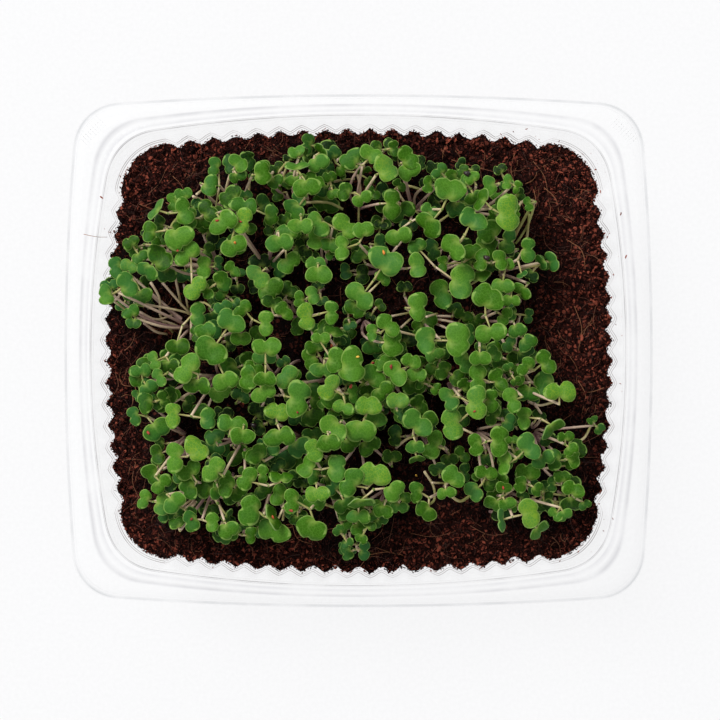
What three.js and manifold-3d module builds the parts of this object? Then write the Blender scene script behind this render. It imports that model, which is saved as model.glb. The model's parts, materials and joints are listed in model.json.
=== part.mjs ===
// Potted red russian kale microgreens: a clear fluted tray, a block of coir and clumps of kale seedlings.
// Millimetres, +Z up, with the origin at the middle of the underside of the tray.
import * as THREE from "three";
import Module from "manifold-3d";

const wasm = await Module();
wasm.setup();

// Tray
const TRAY_HEIGHT = 48;
const WALL = 0.7;
const BASE_THICKNESS = 0.9;
const MOUTH_HALF_X = 70.4;
const MOUTH_HALF_Y = 61.9;
const BASE_HALF_X = 65.4;
const BASE_HALF_Y = 56.9;
const BASE_CURVE = 3;
const SIDE_BOW = 4;
const CORNER_RADIUS = 13;
const FLUTE_DEPTH = 1.6;
const FLUTES_X = 17;
const FLUTES_Y = 15;
const FLUTE_START = 4;
const FLUTE_FULL = 7;
const FLUTE_END = 43.5;
const FLUTE_GONE = 46;
const FLANGE_WIDTH = 3;
const EDGE_HALF_X = 77.5;
const EDGE_HALF_Y = 67.5;
const EDGE_BOW = 2.2;
const EDGE_CORNER = 12;
const SKIRT_DROP = 4.2;

// Coir
const SOIL_TOP = 34;
const SOIL_GAP = 0.3;
const SOIL_RINGS = [0.92, 0.75, 0.5, 0.25];
const SOIL_RING_STEPS = [4, 3, 2, 1];
const SOIL_LUMP = 0.9;

// Kale
const ROOT_ROWS = 6;
const ROOT_ROW_PITCH = 15;
const ROOT_COLUMN_PITCH = 15.4;
const CROWN_RADIUS = 2.4;
const CROWN_SIDES = 4;
const CROWN_DEPTH = 7;
const CROWN_RISE = 1.7;
const FOOT_OUT = 0.9;
const FOOT_RISE = 0.9;
const STEM_RADIUS = 0.72;
const PETIOLE_RADIUS = 0.62;
const BLADE_THICKNESS = 1.1;
const LEVEL_HEIGHTS = [7, 10.5, 15, 19.5, 24];
const STALK_REACH = 1.2;
const LEAF_SPACING = 1.2;
const PAIR_REACH = 10.5;
const STRAIGHT_RUN = 8;

// Cotyledons seen from above: x, y, bearing from base to tip in degrees, width, canopy level and steepness in degrees.
const LEAVES = [
  [-38, 48.6, 170, 5.3, 2], [-31.3, 48.8, 50, 5.6, 3], [-31.5, 45.3, -70, 4.9, 2], [-39, 43.3, -15, 6, 2],
  [-45.9, 41, 100, 5, 2], [-48.6, 38.9, 190, 5.2, 2], [-45.6, 36.3, 15, 7.3, 3], [-52.6, 36.8, 150, 6.5, 2, -60],
  [-54.1, 30.7, 175, 5.6, 2], [-53.4, 27.6, -10, 4.6, 2], [-59.2, 26.5, 215, 5, 1], [-46.4, 29.1, -65, 8, 4],
  [-44.5, 24.8, 135, 7.6, 4], [-51.8, 24, 45, 7.6, 2], [-50.3, 19.9, -90, 5.4, 2], [-55, 20.9, 240, 6.2, 3, -30],
  [-60.3, 22.2, 250, 5, 2], [-64.2, 22, 190, 6, 2], [-60.6, 17.2, 30, 7, 3], [-65.2, 17, 100, 5, 2],
  [-66, 14.3, 190, 5.6, 3], [-57, 14.4, -60, 5.8, 2], [-40.2, 21.8, 180, 6, 3], [-42.3, 16.3, -40, 7, 3],
  [-37.4, 17.4, -70, 5.6, 2], [-32.2, 27, -60, 7.2, 4], [-33.2, 21.4, 45, 4.8, 2], [-35, 33, -55, 8, 4],
  [-29.8, 33.6, -20, 7, 4], [-37.7, 37, -80, 4, 2],

  [-25.1, 46.2, 10, 6.2, 3], [-27.9, 47, 170, 3.6, 1], [-29.9, 41, 90, 4, 1], [-16, 51.8, 110, 4.6, 3],
  [-14, 51, 0, 4.6, 2, -50], [-10.6, 48.8, -60, 6, 3], [-9.6, 52.2, 45, 5, 2, 70], [-16, 47.7, 100, 6.4, 2, -50],
  [-16, 44.8, -90, 5.8, 2], [-13.3, 42.4, -80, 7.6, 4], [-11.3, 44.4, 60, 5.6, 3], [-1.6, 49.8, 135, 6.4, 3],
  [3.4, 50.9, 60, 6.4, 3], [7.3, 46.8, 30, 7.4, 4], [-4.5, 47.2, 200, 4, 1, -40], [1.8, 47.4, -80, 4, 2, -55],
  [-3.3, 40.8, 160, 5, 2], [1.1, 38.9, -60, 5.6, 3], [2.9, 44.9, -60, 3, 1], [8.8, 38.3, 0, 8, 3],
  [3.8, 41.4, 45, 4.6, 2], [-16.4, 36.8, -140, 6.6, 3, -25], [-22.9, 35.6, 0, 5.6, 2], [-29.5, 37.4, 80, 7.4, 2],
  [-14.7, 32.2, -90, 6.6, 4], [-10.3, 32.8, 215, 7.2, 3], [-20.2, 28, -80, 7.4, 4], [-18.3, 30.9, 95, 6, 3],
  [-11, 29.2, 180, 6.4, 3], [-7.3, 27.6, -100, 5.6, 3], [-3.9, 26.5, 180, 6.4, 4], [-3.1, 31.9, 45, 7.6, 4],
  [1.4, 31, 100, 5.8, 3], [0.7, 25.3, 120, 6, 2], [7.2, 23, 60, 9.5, 4], [-17.9, 23, -45, 6.8, 4],
  [-10.3, 19.6, -90, 7, 4], [-11, 22.6, 90, 5.4, 3], [-25.9, 19.2, 225, 7, 4], [-23, 15.8, -45, 7.6, 2],
  [6.6, 18.6, 45, 4.6, 2],

  [13, 50.3, 35, 6.6, 3], [13.4, 46.8, -65, 6.2, 3], [10.3, 51.3, 110, 2.8, 1], [18.4, 43.2, 180, 4.6, 2],
  [21.4, 46.8, 135, 5, 3], [24.7, 45.7, 180, 4.4, 2], [27.3, 47, 135, 4.4, 2], [29.9, 45.1, 120, 4.4, 3],
  [34.6, 43.2, 190, 5.4, 3], [39.2, 43.8, 170, 4.1, 3], [41.7, 42.7, -20, 3.6, 3], [23.7, 41.3, 80, 8.4, 4],
  [32.2, 38.8, 155, 6.2, 3, -40], [37, 40.8, 90, 5, 2, -35], [38.7, 35.3, 0, 9.6, 4], [29.8, 33.6, 60, 7.6, 4],
  [35.2, 32.5, 180, 6, 2], [18.5, 32.7, 220, 7.8, 3, -25], [18.8, 36.6, 60, 5, 2], [10.8, 29.8, -75, 7.2, 3],
  [11.6, 36.6, -60, 7.4, 2], [15.6, 27.2, 120, 5.2, 3], [25.2, 26.6, 220, 7.6, 3, -25], [30.3, 25.8, 90, 6, 2],
  [34, 26.8, 0, 8.4, 2], [15.4, 21.6, 10, 6.6, 4], [22.4, 22.8, 180, 4.6, 2], [27, 18, -10, 9.4, 3],
  [31.6, 19.2, 90, 6.4, 3, -45], [38.7, 22.4, 90, 5, 2], [38, 16.8, -90, 6.2, 3], [44.3, 26.3, 0, 6.6, 3],
  [48.5, 23.1, 215, 4.4, 2, -55], [51.1, 23.3, 20, 5.6, 2, 50], [43, 19.7, -60, 3.2, 1, 50],
  [43.3, 15.8, -130, 5.6, 2, -40], [22, 14.9, 200, 8, 3], [33.8, 13.4, 65, 8.6, 4], [40.2, 13, -90, 5.2, 3],
  [44.8, 38.4, 200, 4, 2],

  [-59.8, 10, 120, 5, 2], [-59.1, 7.1, -100, 4.2, 2], [-42, 9.3, 0, 6.4, 2], [-38.4, 9, -70, 5, 2, -45],
  [-35.4, 11.2, 110, 5.2, 2], [-33, 7.2, 60, 7.8, 4], [-30, 10.7, 135, 5.4, 3], [-30.6, 3, -90, 5.6, 3],
  [-39.8, 4.8, 100, 5.8, 3], [-37.9, -0.4, 240, 9, 4], [-47.3, 0.9, -90, 6.4, 2], [-44, -5, 150, 8.6, 4],
  [-53.1, -2.9, 200, 5.2, 3], [-49.2, -4, -80, 6, 2], [-51.6, -7.2, 210, 5, 3], [-57, -4.7, 180, 2.6, 1],
  [-41.3, -9.2, -90, 7, 2], [-34.3, -8, -70, 7, 4], [-35.8, -11, -60, 6, 3], [-28.2, -7.2, 180, 6.4, 4],
  [-23.8, -7.5, -90, 6, 4], [-56.2, -11.1, 60, 3.1, 1], [-56.9, -13, -110, 3.1, 1], [-54, -13.3, 190, 4.4, 1, -65],
  [-49, -11.8, 90, 5, 2], [-51.7, -14, 180, 5.6, 2], [-47.9, -16.8, 180, 6.6, 4], [-58.5, -17.3, 200, 5.2, 3],
  [-52.7, -20.8, -55, 7.6, 3], [-39.1, -17.8, 0, 5.8, 3], [-32.9, -19.5, 80, 8, 4], [-29.8, -22.3, -95, 6.6, 4],

  [-24.2, 7, 0, 6.8, 3], [-19.3, 10, 45, 5.6, 2], [-22.3, 12.3, 70, 6, 2], [-24, -1.7, -90, 6.4, 4],
  [-23.8, 0.5, 90, 7.6, 3], [-18.4, -7.2, 141, 6.8, 4], [-15.6, -12.7, -10, 9.8, 4], [-24.4, -11.1, -58, 6.8, 4],
  [-21, -16.2, 80, 6.6, 4], [-15.2, 13.2, 180, 4.4, 2], [-11.9, 14.3, 20, 5, 3], [-13.3, 8.3, 190, 7.2, 4],
  [-6.8, 9.8, 0, 6.2, 4], [-9.6, 2.9, 90, 5, 3], [-6.6, 5, 70, 5.6, 3, -40], [-11.2, 0.8, 110, 6, 3],
  [-12.5, -2.3, 200, 6, 3], [-5.7, -2.6, -10, 6.8, 4], [-1.6, -4, 0, 9.4, 4], [-8.8, -5.2, -90, 7, 2],
  [-7.2, -9.8, 150, 7.2, 4], [-6.3, -13.2, -90, 6.6, 3], [-3.6, -14.9, -110, 5.8, 4], [-1.3, -11.4, 10, 5, 2, -35],
  [-6.2, -20.5, 224, 8, 4], [1.1, -21, -90, 8.4, 4], [0.8, 13.9, 225, 8.4, 4], [-0.6, 10.6, 240, 6, 2],
  [3.8, 4.5, 180, 4.6, 3], [7.9, 6.2, 45, 7, 4], [8.9, 1.9, 0, 7.8, 4], [4, 1, -80, 6, 2], [6.7, -3.5, 130, 5, 3],
  [10, -5.9, 219, 7.4, 4], [4, -7, 45, 7, 3], [6.4, -10.8, -45, 6.6, 3], [2.6, -14.7, 90, 7, 4],
  [10.2, -13.3, 90, 6, 4], [11.3, -16.2, 200, 7, 3], [4.8, -18, 60, 6, 3],

  [15.4, 10.8, 0, 7.6, 4], [17.8, 2.2, 185, 7.2, 4], [20, -1.2, -70, 5.6, 3], [25.8, 2.3, 0, 9, 4],
  [28, -3, 219, 7, 3], [34.5, 4.4, -80, 8.4, 4], [41.5, 5.1, -70, 5, 3], [44.3, 1.9, -45, 5.4, 3],
  [38.4, 8.7, -30, 5.2, 3], [31.7, -2.1, -90, 5.8, 3], [35.6, -0.9, 30, 4.6, 2], [37.6, -3.8, 60, 5.6, 2],
  [43.9, -4.3, 140, 5.6, 3], [49.1, -3.2, 30, 6.8, 3], [52.4, -11, 90, 8.6, 4], [49.3, -9.4, 190, 7.8, 3],
  [44.9, -11.3, -100, 6.4, 2], [40.3, -13.2, 200, 6.8, 4], [34.7, -12.9, 0, 6.2, 3], [36.6, -7.8, 31, 6.6, 3],
  [31.4, -7.7, 180, 7.8, 4], [30.6, -13.6, 0, 8.8, 4], [23.7, -12.8, 215, 6.6, 3], [22.5, -5.3, 155, 5.2, 2],
  [26, -7.3, -33, 5, 2], [15.6, -6.5, -95, 5.4, 3], [13.9, -3, 70, 5.4, 3], [14.6, -9.4, -80, 6.4, 2],
  [16.9, -15.6, 0, 5, 2], [15.5, -19.2, 52, 8.6, 4], [24.6, -19.2, 190, 8.4, 4], [36.5, -23.5, 0, 8, 4],
  [38, -17, 90, 5, 2], [43.5, -17.7, 180, 6, 3], [30.8, -24.8, 190, 6, 3], [50.7, -20.2, -60, 7.4, 3, -50],
  [62, -18.6, 120, 3.1, 1], [64, -20.8, -40, 3.3, 1],

  [-53.3, -27.6, 200, 5.4, 2], [-54.1, -33, 215, 6.4, 2], [-51.3, -35, -45, 6.2, 3], [-47.2, -27.8, 180, 8, 4],
  [-42, -25.9, 40, 7.2, 4], [-43.9, -31.5, 120, 7, 3], [-37.8, -22.8, 110, 5.6, 2], [-37.2, -31, 141, 7.2, 4],
  [-34.2, -35.7, 170, 6, 3], [-40, -36.1, 135, 6.4, 2], [-44, -36.4, 210, 5.8, 2], [-47.8, -39.7, -45, 6.6, 3],
  [-56, -39.2, 160, 5.2, 3], [-51.4, -40.4, -15, 6.2, 3], [-49.1, -43.3, 110, 4.2, 1],
  [-47.6, -45.6, 110, 4.8, 2, -35], [-43.5, -44.7, 200, 5.8, 3], [-38.1, -45.1, 0, 5.2, 3],
  [-34.3, -43.5, -30, 4.2, 1, -55], [-33.7, -47, -60, 6, 3], [-30, -46.4, -60, 4.2, 1],

  [-26.4, -27.3, 135, 6.2, 3], [-20, -22.5, -80, 8.2, 4], [-22.7, -24.7, 200, 6.4, 3], [-15.4, -25.6, -60, 6.8, 2],
  [-11.3, -25.9, 200, 6.2, 4], [-12.8, -30.4, 150, 7, 3, -35], [-5.5, -30.6, 0, 7.2, 4], [-1.7, -34.6, 150, 8.2, 4],
  [4.4, -32.5, 85, 8.8, 4], [-10.5, -37.4, -85, 6.6, 4], [-11.3, -40, -90, 5.8, 3], [-17, -39.4, 180, 6.6, 4],
  [-20.6, -38, 160, 6, 2], [-28.6, -33.7, 147, 6.6, 4], [-24.8, -32.6, 0, 5, 2], [-27.8, -41.4, 170, 8.2, 4],
  [-22.2, -43.7, 20, 7.2, 3, -70], [-22, -47.1, -110, 8.8, 3], [-27, -48.2, 250, 3.8, 1],
  [-11.8, -46.4, -115, 8.2, 3], [0.2, -43.5, -90, 6.4, 3], [-3.5, -46.6, -50, 4.6, 2], [-0.4, -48, 120, 2.9, 1],
  [0.5, -49.5, -60, 2.9, 1], [-4, -52.3, 180, 3.4, 1], [-1.9, -53.2, -70, 3.1, 1], [6.2, -40.8, -100, 5.2, 2],
  [5.8, -45.3, -55, 4.6, 1], [9.5, -36.5, -40, 6.2, 4], [1, -39.7, -90, 7.4, 2, -60], [2.9, -25, -45, 6.4, 2],
  [-7.2, -24, -80, 6.4, 3], [-20, -33.4, 90, 6.4, 2, -40],

  [15.2, -25.2, -90, 5, 3], [15.5, -28.5, -75, 4.4, 2, -50], [19.8, -24.9, 160, 7.8, 3], [24.9, -33.2, 50, 6.6, 4],
  [23, -37.1, -80, 5.2, 3], [15.4, -37.3, 180, 5.6, 3], [17.8, -42.2, -130, 6.2, 2], [10.7, -41.3, -90, 5, 2],
  [30.4, -37, 222, 5.8, 3], [33.5, -32.2, 80, 6.2, 3], [38.3, -29.4, 180, 7, 3, -40], [36.2, -34.4, -80, 6.6, 2],
  [44.5, -25.4, 35, 7.6, 4], [44.4, -42.3, 15, 7.8, 4], [47.4, -47.2, -45, 6.2, 2, -45],
  [36, -40.4, 241, 6.2, 2, -40], [37.3, -44.2, 190, 6.2, 2, 60], [41, -41.2, 180, 3.6, 1],
  [43.4, -38.3, 60, 3.8, 1], [44.3, -32.2, 90, 6.8, 2], [48.5, -28.6, -60, 6.6, 3], [54.1, -22.7, 95, 4.6, 3],
  [55.7, -26.1, -50, 4.2, 3], [52.7, -28.6, 180, 4.2, 1], [56, -30, 0, 3.8, 1, -65], [53.6, -33.3, 90, 4.6, 2],
  [51, -35.4, 180, 4.4, 1], [56.3, -36.5, 70, 6.2, 3], [59.5, -40.5, -60, 3.6, 1], [51.6, -43, 225, 4.4, 3],
  [54, -43, -60, 4.4, 3],
];

// Half of a cotyledon's outline from its base notch round one lobe to its tip notch, as shares of its width.
const HALF_OUTLINE = [[-0.02, 0.24], [0.21, 0.5], [0.5, 0.3]];
const TIP_NOTCH = 0.43;
const LOBE_CENTRE = [0.25, 0.25];
const LOBE_RADIUS = 0.27;
const WAIST = 0.23;
const CUP = 0.05;

const RAD = Math.PI / 180;

function vec(x, y, z) {
  return new THREE.Vector3(x, y, z);
}

// Evenly spread numbers from 0 to 1, the same run for the same seed.
function randomFrom(seed) {
  let state = (seed * 2654435761) % 4294967296;
  return () => {
    state = (state * 1664525 + 1013904223) % 4294967296;
    return state / 4294967296;
  };
}

function closedSolid(points, triangles) {
  const data = new Float32Array(points.length * 3);
  points.forEach((p, i) => data.set([p.x, p.y, p.z], i * 3));
  return new wasm.Manifold(
    new wasm.Mesh({ numProp: 3, vertProperties: data, triVerts: new Uint32Array(triangles.flat()) }),
  );
}

// One closed ring of points, counter-clockwise from above, with bowed sides and rounded corners.
// Every odd side point lies in by the flute's depth, and a ring of valleys has only the odd ones.
// Each point keeps its place round the ring from 0 to 1, so rings of different counts can be joined.
function ring(halfX, halfY, bow, corner, z, sideSteps, cornerSteps, flute = 0, valleys = false) {
  const endX = halfX - bow - corner;
  const endY = halfY - bow - corner;
  const points = [];
  for (let side = 0; side < 4; side++) {
    const along = side % 2 === 0 ? endX : endY;
    const across = side % 2 === 0 ? halfY : halfX;
    const nextEnd = side % 2 === 0 ? endY : endX;
    const nextAcross = side % 2 === 0 ? halfX : halfY;
    const steps = sideSteps[side % 2];
    const turn = (side * Math.PI) / 2;
    const place = (a, b, share) => {
      const x = a * Math.cos(turn) + b * Math.sin(turn);
      const y = a * Math.sin(turn) - b * Math.cos(turn);
      points.push({ at: vec(x, y, z), share: (side + share) / 4 });
    };
    for (let i = 0; i <= steps; i++) {
      const u = -1 + (2 * i) / steps;
      const inward = i % 2 === 1 ? flute : 0;
      if (!valleys || i % 2 === 1) {
        place(along * u, across - bow * u * u - inward, (0.8 * i) / steps);
      }
    }
    const start = [along, across - bow];
    const finish = [nextAcross - bow, nextEnd];
    const startLean = [0.56 * corner, (-0.56 * corner * 2 * bow) / along];
    const finishLean = [(0.56 * corner * 2 * bow) / nextEnd, -0.56 * corner];
    for (let i = 1; i < cornerSteps; i++) {
      const t = i / cornerSteps;
      const k = [(1 - t) ** 3, 3 * t * (1 - t) ** 2, 3 * t * t * (1 - t), t ** 3];
      const at = [0, 1].map(
        (c) =>
          k[0] * start[c] +
          k[1] * (start[c] + startLean[c]) +
          k[2] * (finish[c] - finishLean[c]) +
          k[3] * finish[c],
      );
      place(at[0], at[1], 0.8 + 0.2 * t);
    }
  }
  return points;
}

// The place round the ring of the middle of the edge that starts at a point.
function middleShare(points, i) {
  if (i >= points.length) {
    return Infinity;
  }
  const next = i + 1 < points.length ? points[i + 1].share : 1 + points[0].share;
  return (points[i].share + next) / 2;
}

// Stacks rings into one closed surface, flat at the first and last ring.
function stackedSolid(rings, firstCentre, lastCentre) {
  const points = [];
  const triangles = [];
  const starts = rings.map((r) => {
    const start = points.length;
    r.forEach((p) => points.push(p.at));
    return start;
  });
  for (let k = 0; k + 1 < rings.length; k++) {
    const low = rings[k];
    const high = rings[k + 1];
    let i = 0;
    let j = 0;
    while (i < low.length || j < high.length) {
      const a = starts[k] + (i % low.length);
      const b = starts[k + 1] + (j % high.length);
      if (middleShare(low, i) <= middleShare(high, j)) {
        triangles.push([a, starts[k] + ((i + 1) % low.length), b]);
        i++;
      } else {
        triangles.push([a, starts[k + 1] + ((j + 1) % high.length), b]);
        j++;
      }
    }
  }
  const cap = (start, count, centre, upward) => {
    const middle = points.length;
    points.push(centre);
    for (let i = 0; i < count; i++) {
      const a = start + i;
      const b = start + ((i + 1) % count);
      triangles.push(upward ? [middle, a, b] : [middle, b, a]);
    }
  };
  cap(starts[0], rings[0].length, firstCentre, false);
  const last = rings.length - 1;
  cap(starts[last], rings[last].length, lastCentre, true);
  return closedSolid(points, triangles);
}

const PLAIN_STEPS = [4, 4];
const FLUTE_STEPS = [FLUTES_X * 2, FLUTES_Y * 2];
const PLAIN_CORNER = 5;

// Half sizes of the inside of the wall at a height.
function wallHalf(z) {
  const share = z / TRAY_HEIGHT;
  return [
    BASE_HALF_X + (MOUTH_HALF_X - BASE_HALF_X) * share,
    BASE_HALF_Y + (MOUTH_HALF_Y - BASE_HALF_Y) * share,
  ];
}

function plainRing(z, offset) {
  const [x, y] = wallHalf(z);
  return ring(x + offset, y + offset, SIDE_BOW, CORNER_RADIUS, z, PLAIN_STEPS, PLAIN_CORNER);
}

function flutedRing(z, offset) {
  const [x, y] = wallHalf(z);
  return ring(x + offset, y + offset, SIDE_BOW, CORNER_RADIUS, z, FLUTE_STEPS, PLAIN_CORNER, FLUTE_DEPTH);
}

function valleyRing(z, offset) {
  const [x, y] = wallHalf(z);
  return ring(x + offset, y + offset, SIDE_BOW, CORNER_RADIUS, z, FLUTE_STEPS, PLAIN_CORNER, 0, true);
}

function rimRing(halfX, halfY, bow, corner, z) {
  return ring(halfX, halfY, bow, corner, z, PLAIN_STEPS, PLAIN_CORNER);
}

function makeTray() {
  const flangeX = MOUTH_HALF_X + FLANGE_WIDTH;
  const flangeY = MOUTH_HALF_Y + FLANGE_WIDTH;
  const under = TRAY_HEIGHT - WALL;
  const outer = [
    plainRing(0, WALL - BASE_CURVE),
    plainRing(1, WALL - 0.9),
    valleyRing(FLUTE_START, WALL),
    flutedRing(FLUTE_FULL, WALL),
    flutedRing(FLUTE_END, WALL),
    valleyRing(FLUTE_GONE, WALL),
    plainRing(under, WALL),
    rimRing(flangeX - 0.4, flangeY - 0.4, SIDE_BOW - 0.3, CORNER_RADIUS, under),
    rimRing(EDGE_HALF_X, EDGE_HALF_Y, EDGE_BOW, EDGE_CORNER, under - SKIRT_DROP),
    rimRing(EDGE_HALF_X, EDGE_HALF_Y, EDGE_BOW, EDGE_CORNER, TRAY_HEIGHT - SKIRT_DROP),
    rimRing(flangeX, flangeY, SIDE_BOW - 0.3, CORNER_RADIUS, TRAY_HEIGHT),
  ];
  const inner = [
    plainRing(TRAY_HEIGHT, 0),
    valleyRing(FLUTE_GONE, 0),
    flutedRing(FLUTE_END, 0),
    flutedRing(FLUTE_FULL, 0),
    valleyRing(FLUTE_START, 0),
    plainRing(BASE_THICKNESS + 0.8, -0.7),
    plainRing(BASE_THICKNESS, 0.4 - BASE_CURVE),
  ];
  return stackedSolid([...outer, ...inner], vec(0, 0, 0), vec(0, 0, BASE_THICKNESS));
}

function makeCoir() {
  const random = randomFrom(7);
  const bottom = BASE_THICKNESS + SOIL_GAP;
  const rings = [
    plainRing(bottom, -BASE_CURVE - 0.3),
    valleyRing(FLUTE_START, -SOIL_GAP - 0.6),
    flutedRing(FLUTE_FULL, -SOIL_GAP - 0.2),
    flutedRing(SOIL_TOP - 0.6, -SOIL_GAP - 0.2),
  ];
  const [x, y] = wallHalf(SOIL_TOP);
  SOIL_RINGS.forEach((share, i) => {
    const steps = [5, 4].map((n) => Math.max(1, Math.round((n * SOIL_RING_STEPS[i]) / 2)));
    const z = SOIL_TOP;
    const made = ring(x * share, y * share, SIDE_BOW * share, CORNER_RADIUS * share, z, steps, 3);
    made.forEach((p) => {
      p.at.z += (random() - 0.5) * SOIL_LUMP;
    });
    rings.push(made);
  });
  return stackedSolid(rings, vec(0, 0, bottom), vec(0, 0, SOIL_TOP));
}

// A closed tube of a few sides through a list of points.
function tube(path, radius, sides) {
  const points = [];
  const triangles = [];
  let normal = null;
  path.forEach((p, i) => {
    const before = path[Math.max(0, i - 1)];
    const after = path[Math.min(path.length - 1, i + 1)];
    const along = after.clone().sub(before).normalize();
    if (!normal) {
      const side = Math.abs(along.z) < 0.9 ? vec(0, 0, 1) : vec(1, 0, 0);
      normal = side.cross(along);
    }
    normal = normal.clone().addScaledVector(along, -normal.dot(along)).normalize();
    const other = along.clone().cross(normal);
    for (let k = 0; k < sides; k++) {
      const turn = (2 * Math.PI * k) / sides;
      points.push(
        p
          .clone()
          .addScaledVector(normal, radius * Math.cos(turn))
          .addScaledVector(other, radius * Math.sin(turn)),
      );
    }
  });
  for (let i = 0; i + 1 < path.length; i++) {
    for (let k = 0; k < sides; k++) {
      const a = i * sides + k;
      const b = i * sides + ((k + 1) % sides);
      triangles.push([a, b, b + sides], [a, b + sides, a + sides]);
    }
  }
  const last = (path.length - 1) * sides;
  for (let k = 1; k + 1 < sides; k++) {
    triangles.push([0, k + 1, k], [last, last + k, last + k + 1]);
  }
  return closedSolid(points, triangles);
}

function polarStep(bearing) {
  return [Math.cos(bearing * RAD), Math.sin(bearing * RAD)];
}

// A cotyledon's place in space: its base point and its three directions.
function bladeFrame(leaf) {
  const [cx, cy] = polarStep(leaf.bearing);
  const pitch = leaf.pitch * RAD;
  const roll = leaf.roll * RAD;
  const along = vec(cx * Math.cos(pitch), cy * Math.cos(pitch), Math.sin(pitch));
  const level = vec(-cy, cx, 0);
  const lifted = along.clone().cross(level);
  const across = level.clone().multiplyScalar(Math.cos(roll)).addScaledVector(lifted, Math.sin(roll));
  const up = along.clone().cross(across);
  const base = vec(leaf.x, leaf.y, leaf.z).addScaledVector(along, -WAIST * leaf.width);
  return { along, across, up, base };
}

function bladePoint(frame, width, a, b, lift) {
  return frame.base
    .clone()
    .addScaledVector(frame.along, a * width)
    .addScaledVector(frame.across, b * width)
    .addScaledVector(frame.up, CUP * width * 4 * b * b + lift);
}

// A cotyledon's rim, middle and neck, joined to the three corners of the stalk that carries it.
function addCotyledon(points, triangles, stalk, leaf) {
  const frame = bladeFrame(leaf);
  const neck = [[-0.8, -0.4], [0.8, -0.4], [0, 0.8]].map(([side, rise]) => {
    const at = frame.base.clone().addScaledVector(frame.across, side * PETIOLE_RADIUS);
    return points.push(at.addScaledVector(frame.up, rise * PETIOLE_RADIUS)) - 1;
  });
  joinRings(triangles, stalk, neck);
  const [right, left, ridge] = neck;
  const near = HALF_OUTLINE.map(([a, b]) => [a, -b]);
  const far = [...HALF_OUTLINE].reverse();
  const rim = [...near, [TIP_NOTCH, 0], ...far].map(
    ([a, b]) => points.push(bladePoint(frame, leaf.width, a, b, 0)) - 1,
  );
  const half = BLADE_THICKNESS / 2;
  const top = points.push(bladePoint(frame, leaf.width, LOBE_CENTRE[0], 0, half)) - 1;
  const bottom = points.push(bladePoint(frame, leaf.width, LOBE_CENTRE[0], 0, -half)) - 1;
  const first = rim[0];
  const last = rim[rim.length - 1];
  for (let i = 0; i + 1 < rim.length; i++) {
    triangles.push([top, rim[i], rim[i + 1]], [bottom, rim[i + 1], rim[i]]);
  }
  triangles.push([top, last, ridge], [top, ridge, first]);
  triangles.push([bottom, left, last], [bottom, right, left], [bottom, first, right]);
  triangles.push([last, left, ridge], [first, ridge, right]);
}

// The band of triangles between two rings of corners.
function joinRings(triangles, low, high) {
  low.forEach((a, k) => {
    const next = (k + 1) % low.length;
    triangles.push([a, low[next], high[next]], [a, high[next], high[k]]);
  });
}

// Where the stalks of a seedling's cotyledons meet: behind their bases, and below them unless they hang.
function forkPoint(leaves) {
  const heels = leaves.map((leaf) => {
    const [cx, cy] = polarStep(leaf.bearing);
    const drop = Math.max(0.1, 0.9 + Math.sin(leaf.pitch * RAD));
    return bladeFrame(leaf).base.addScaledVector(vec(cx, cy, drop), -STALK_REACH);
  });
  return heels.reduce((sum, p) => sum.add(p)).divideScalar(leaves.length);
}

// A three-sided stem that ends in one cotyledon, or forks into two: one closed surface.
function makeSeedling(path, leaves) {
  const points = [];
  const triangles = [];
  const tip = path[path.length - 1];
  const arms = leaves.map((leaf) => {
    const out = bladeFrame(leaf).base.sub(tip);
    return { leaf, bearing: Math.atan2(out.y, out.x) / RAD };
  });
  const swing = (arms[arms.length - 1].bearing - arms[0].bearing + 720) % 360;
  if (swing > 180) {
    arms.reverse();
  }
  const middle = arms[0].bearing + (swing > 180 ? 360 - swing : swing) / 2;
  const [cx, cy] = polarStep(arms.length > 1 ? middle - 120 : middle - 60);
  const side = vec(cx, cy, 0);
  const along = vec(0, 0, 1);
  let stalk = null;
  path.forEach((p, i) => {
    const before = path[Math.max(0, i - 1)];
    const after = path[Math.min(path.length - 1, i + 1)];
    along.copy(after).sub(before).normalize();
    if (after === p) {
      along.z += 1;
      along.normalize();
    }
    const normal = side.clone().addScaledVector(along, -side.dot(along)).normalize();
    const other = along.clone().cross(normal);
    const corners = [0, 1, 2].map((k) => {
      const turn = (2 * Math.PI * k) / 3;
      const at = p.clone().addScaledVector(normal, STEM_RADIUS * Math.cos(turn));
      return points.push(at.addScaledVector(other, STEM_RADIUS * Math.sin(turn))) - 1;
    });
    if (stalk) {
      joinRings(triangles, stalk, corners);
    } else {
      triangles.push([corners[0], corners[2], corners[1]]);
    }
    stalk = corners;
  });
  if (arms.length === 1) {
    addCotyledon(points, triangles, stalk, arms[0].leaf);
    return closedSolid(points, triangles);
  }
  const [a, b, c] = stalk;
  const fork = points.push(tip.clone().addScaledVector(along, STEM_RADIUS)) - 1;
  triangles.push([c, a, fork]);
  addCotyledon(points, triangles, [a, b, fork], arms[0].leaf);
  addCotyledon(points, triangles, [b, c, fork], arms[1].leaf);
  return closedSolid(points, triangles);
}

// Points about a millimetre apart over a cotyledon, to keep clumps clear of each other.
function bladeSamples(leaf) {
  const frame = bladeFrame(leaf);
  const samples = [];
  const step = 0.95 / leaf.width;
  for (let a = -0.04; a <= 0.54; a += step) {
    for (let b = -0.52; b <= 0.53; b += step) {
      const da = a - LOBE_CENTRE[0];
      const db = Math.abs(b) - LOBE_CENTRE[1];
      if (da * da + db * db < LOBE_RADIUS * LOBE_RADIUS * 1.1) {
        samples.push(bladePoint(frame, leaf.width, a, b, 0));
      }
    }
  }
  return samples;
}

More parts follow.
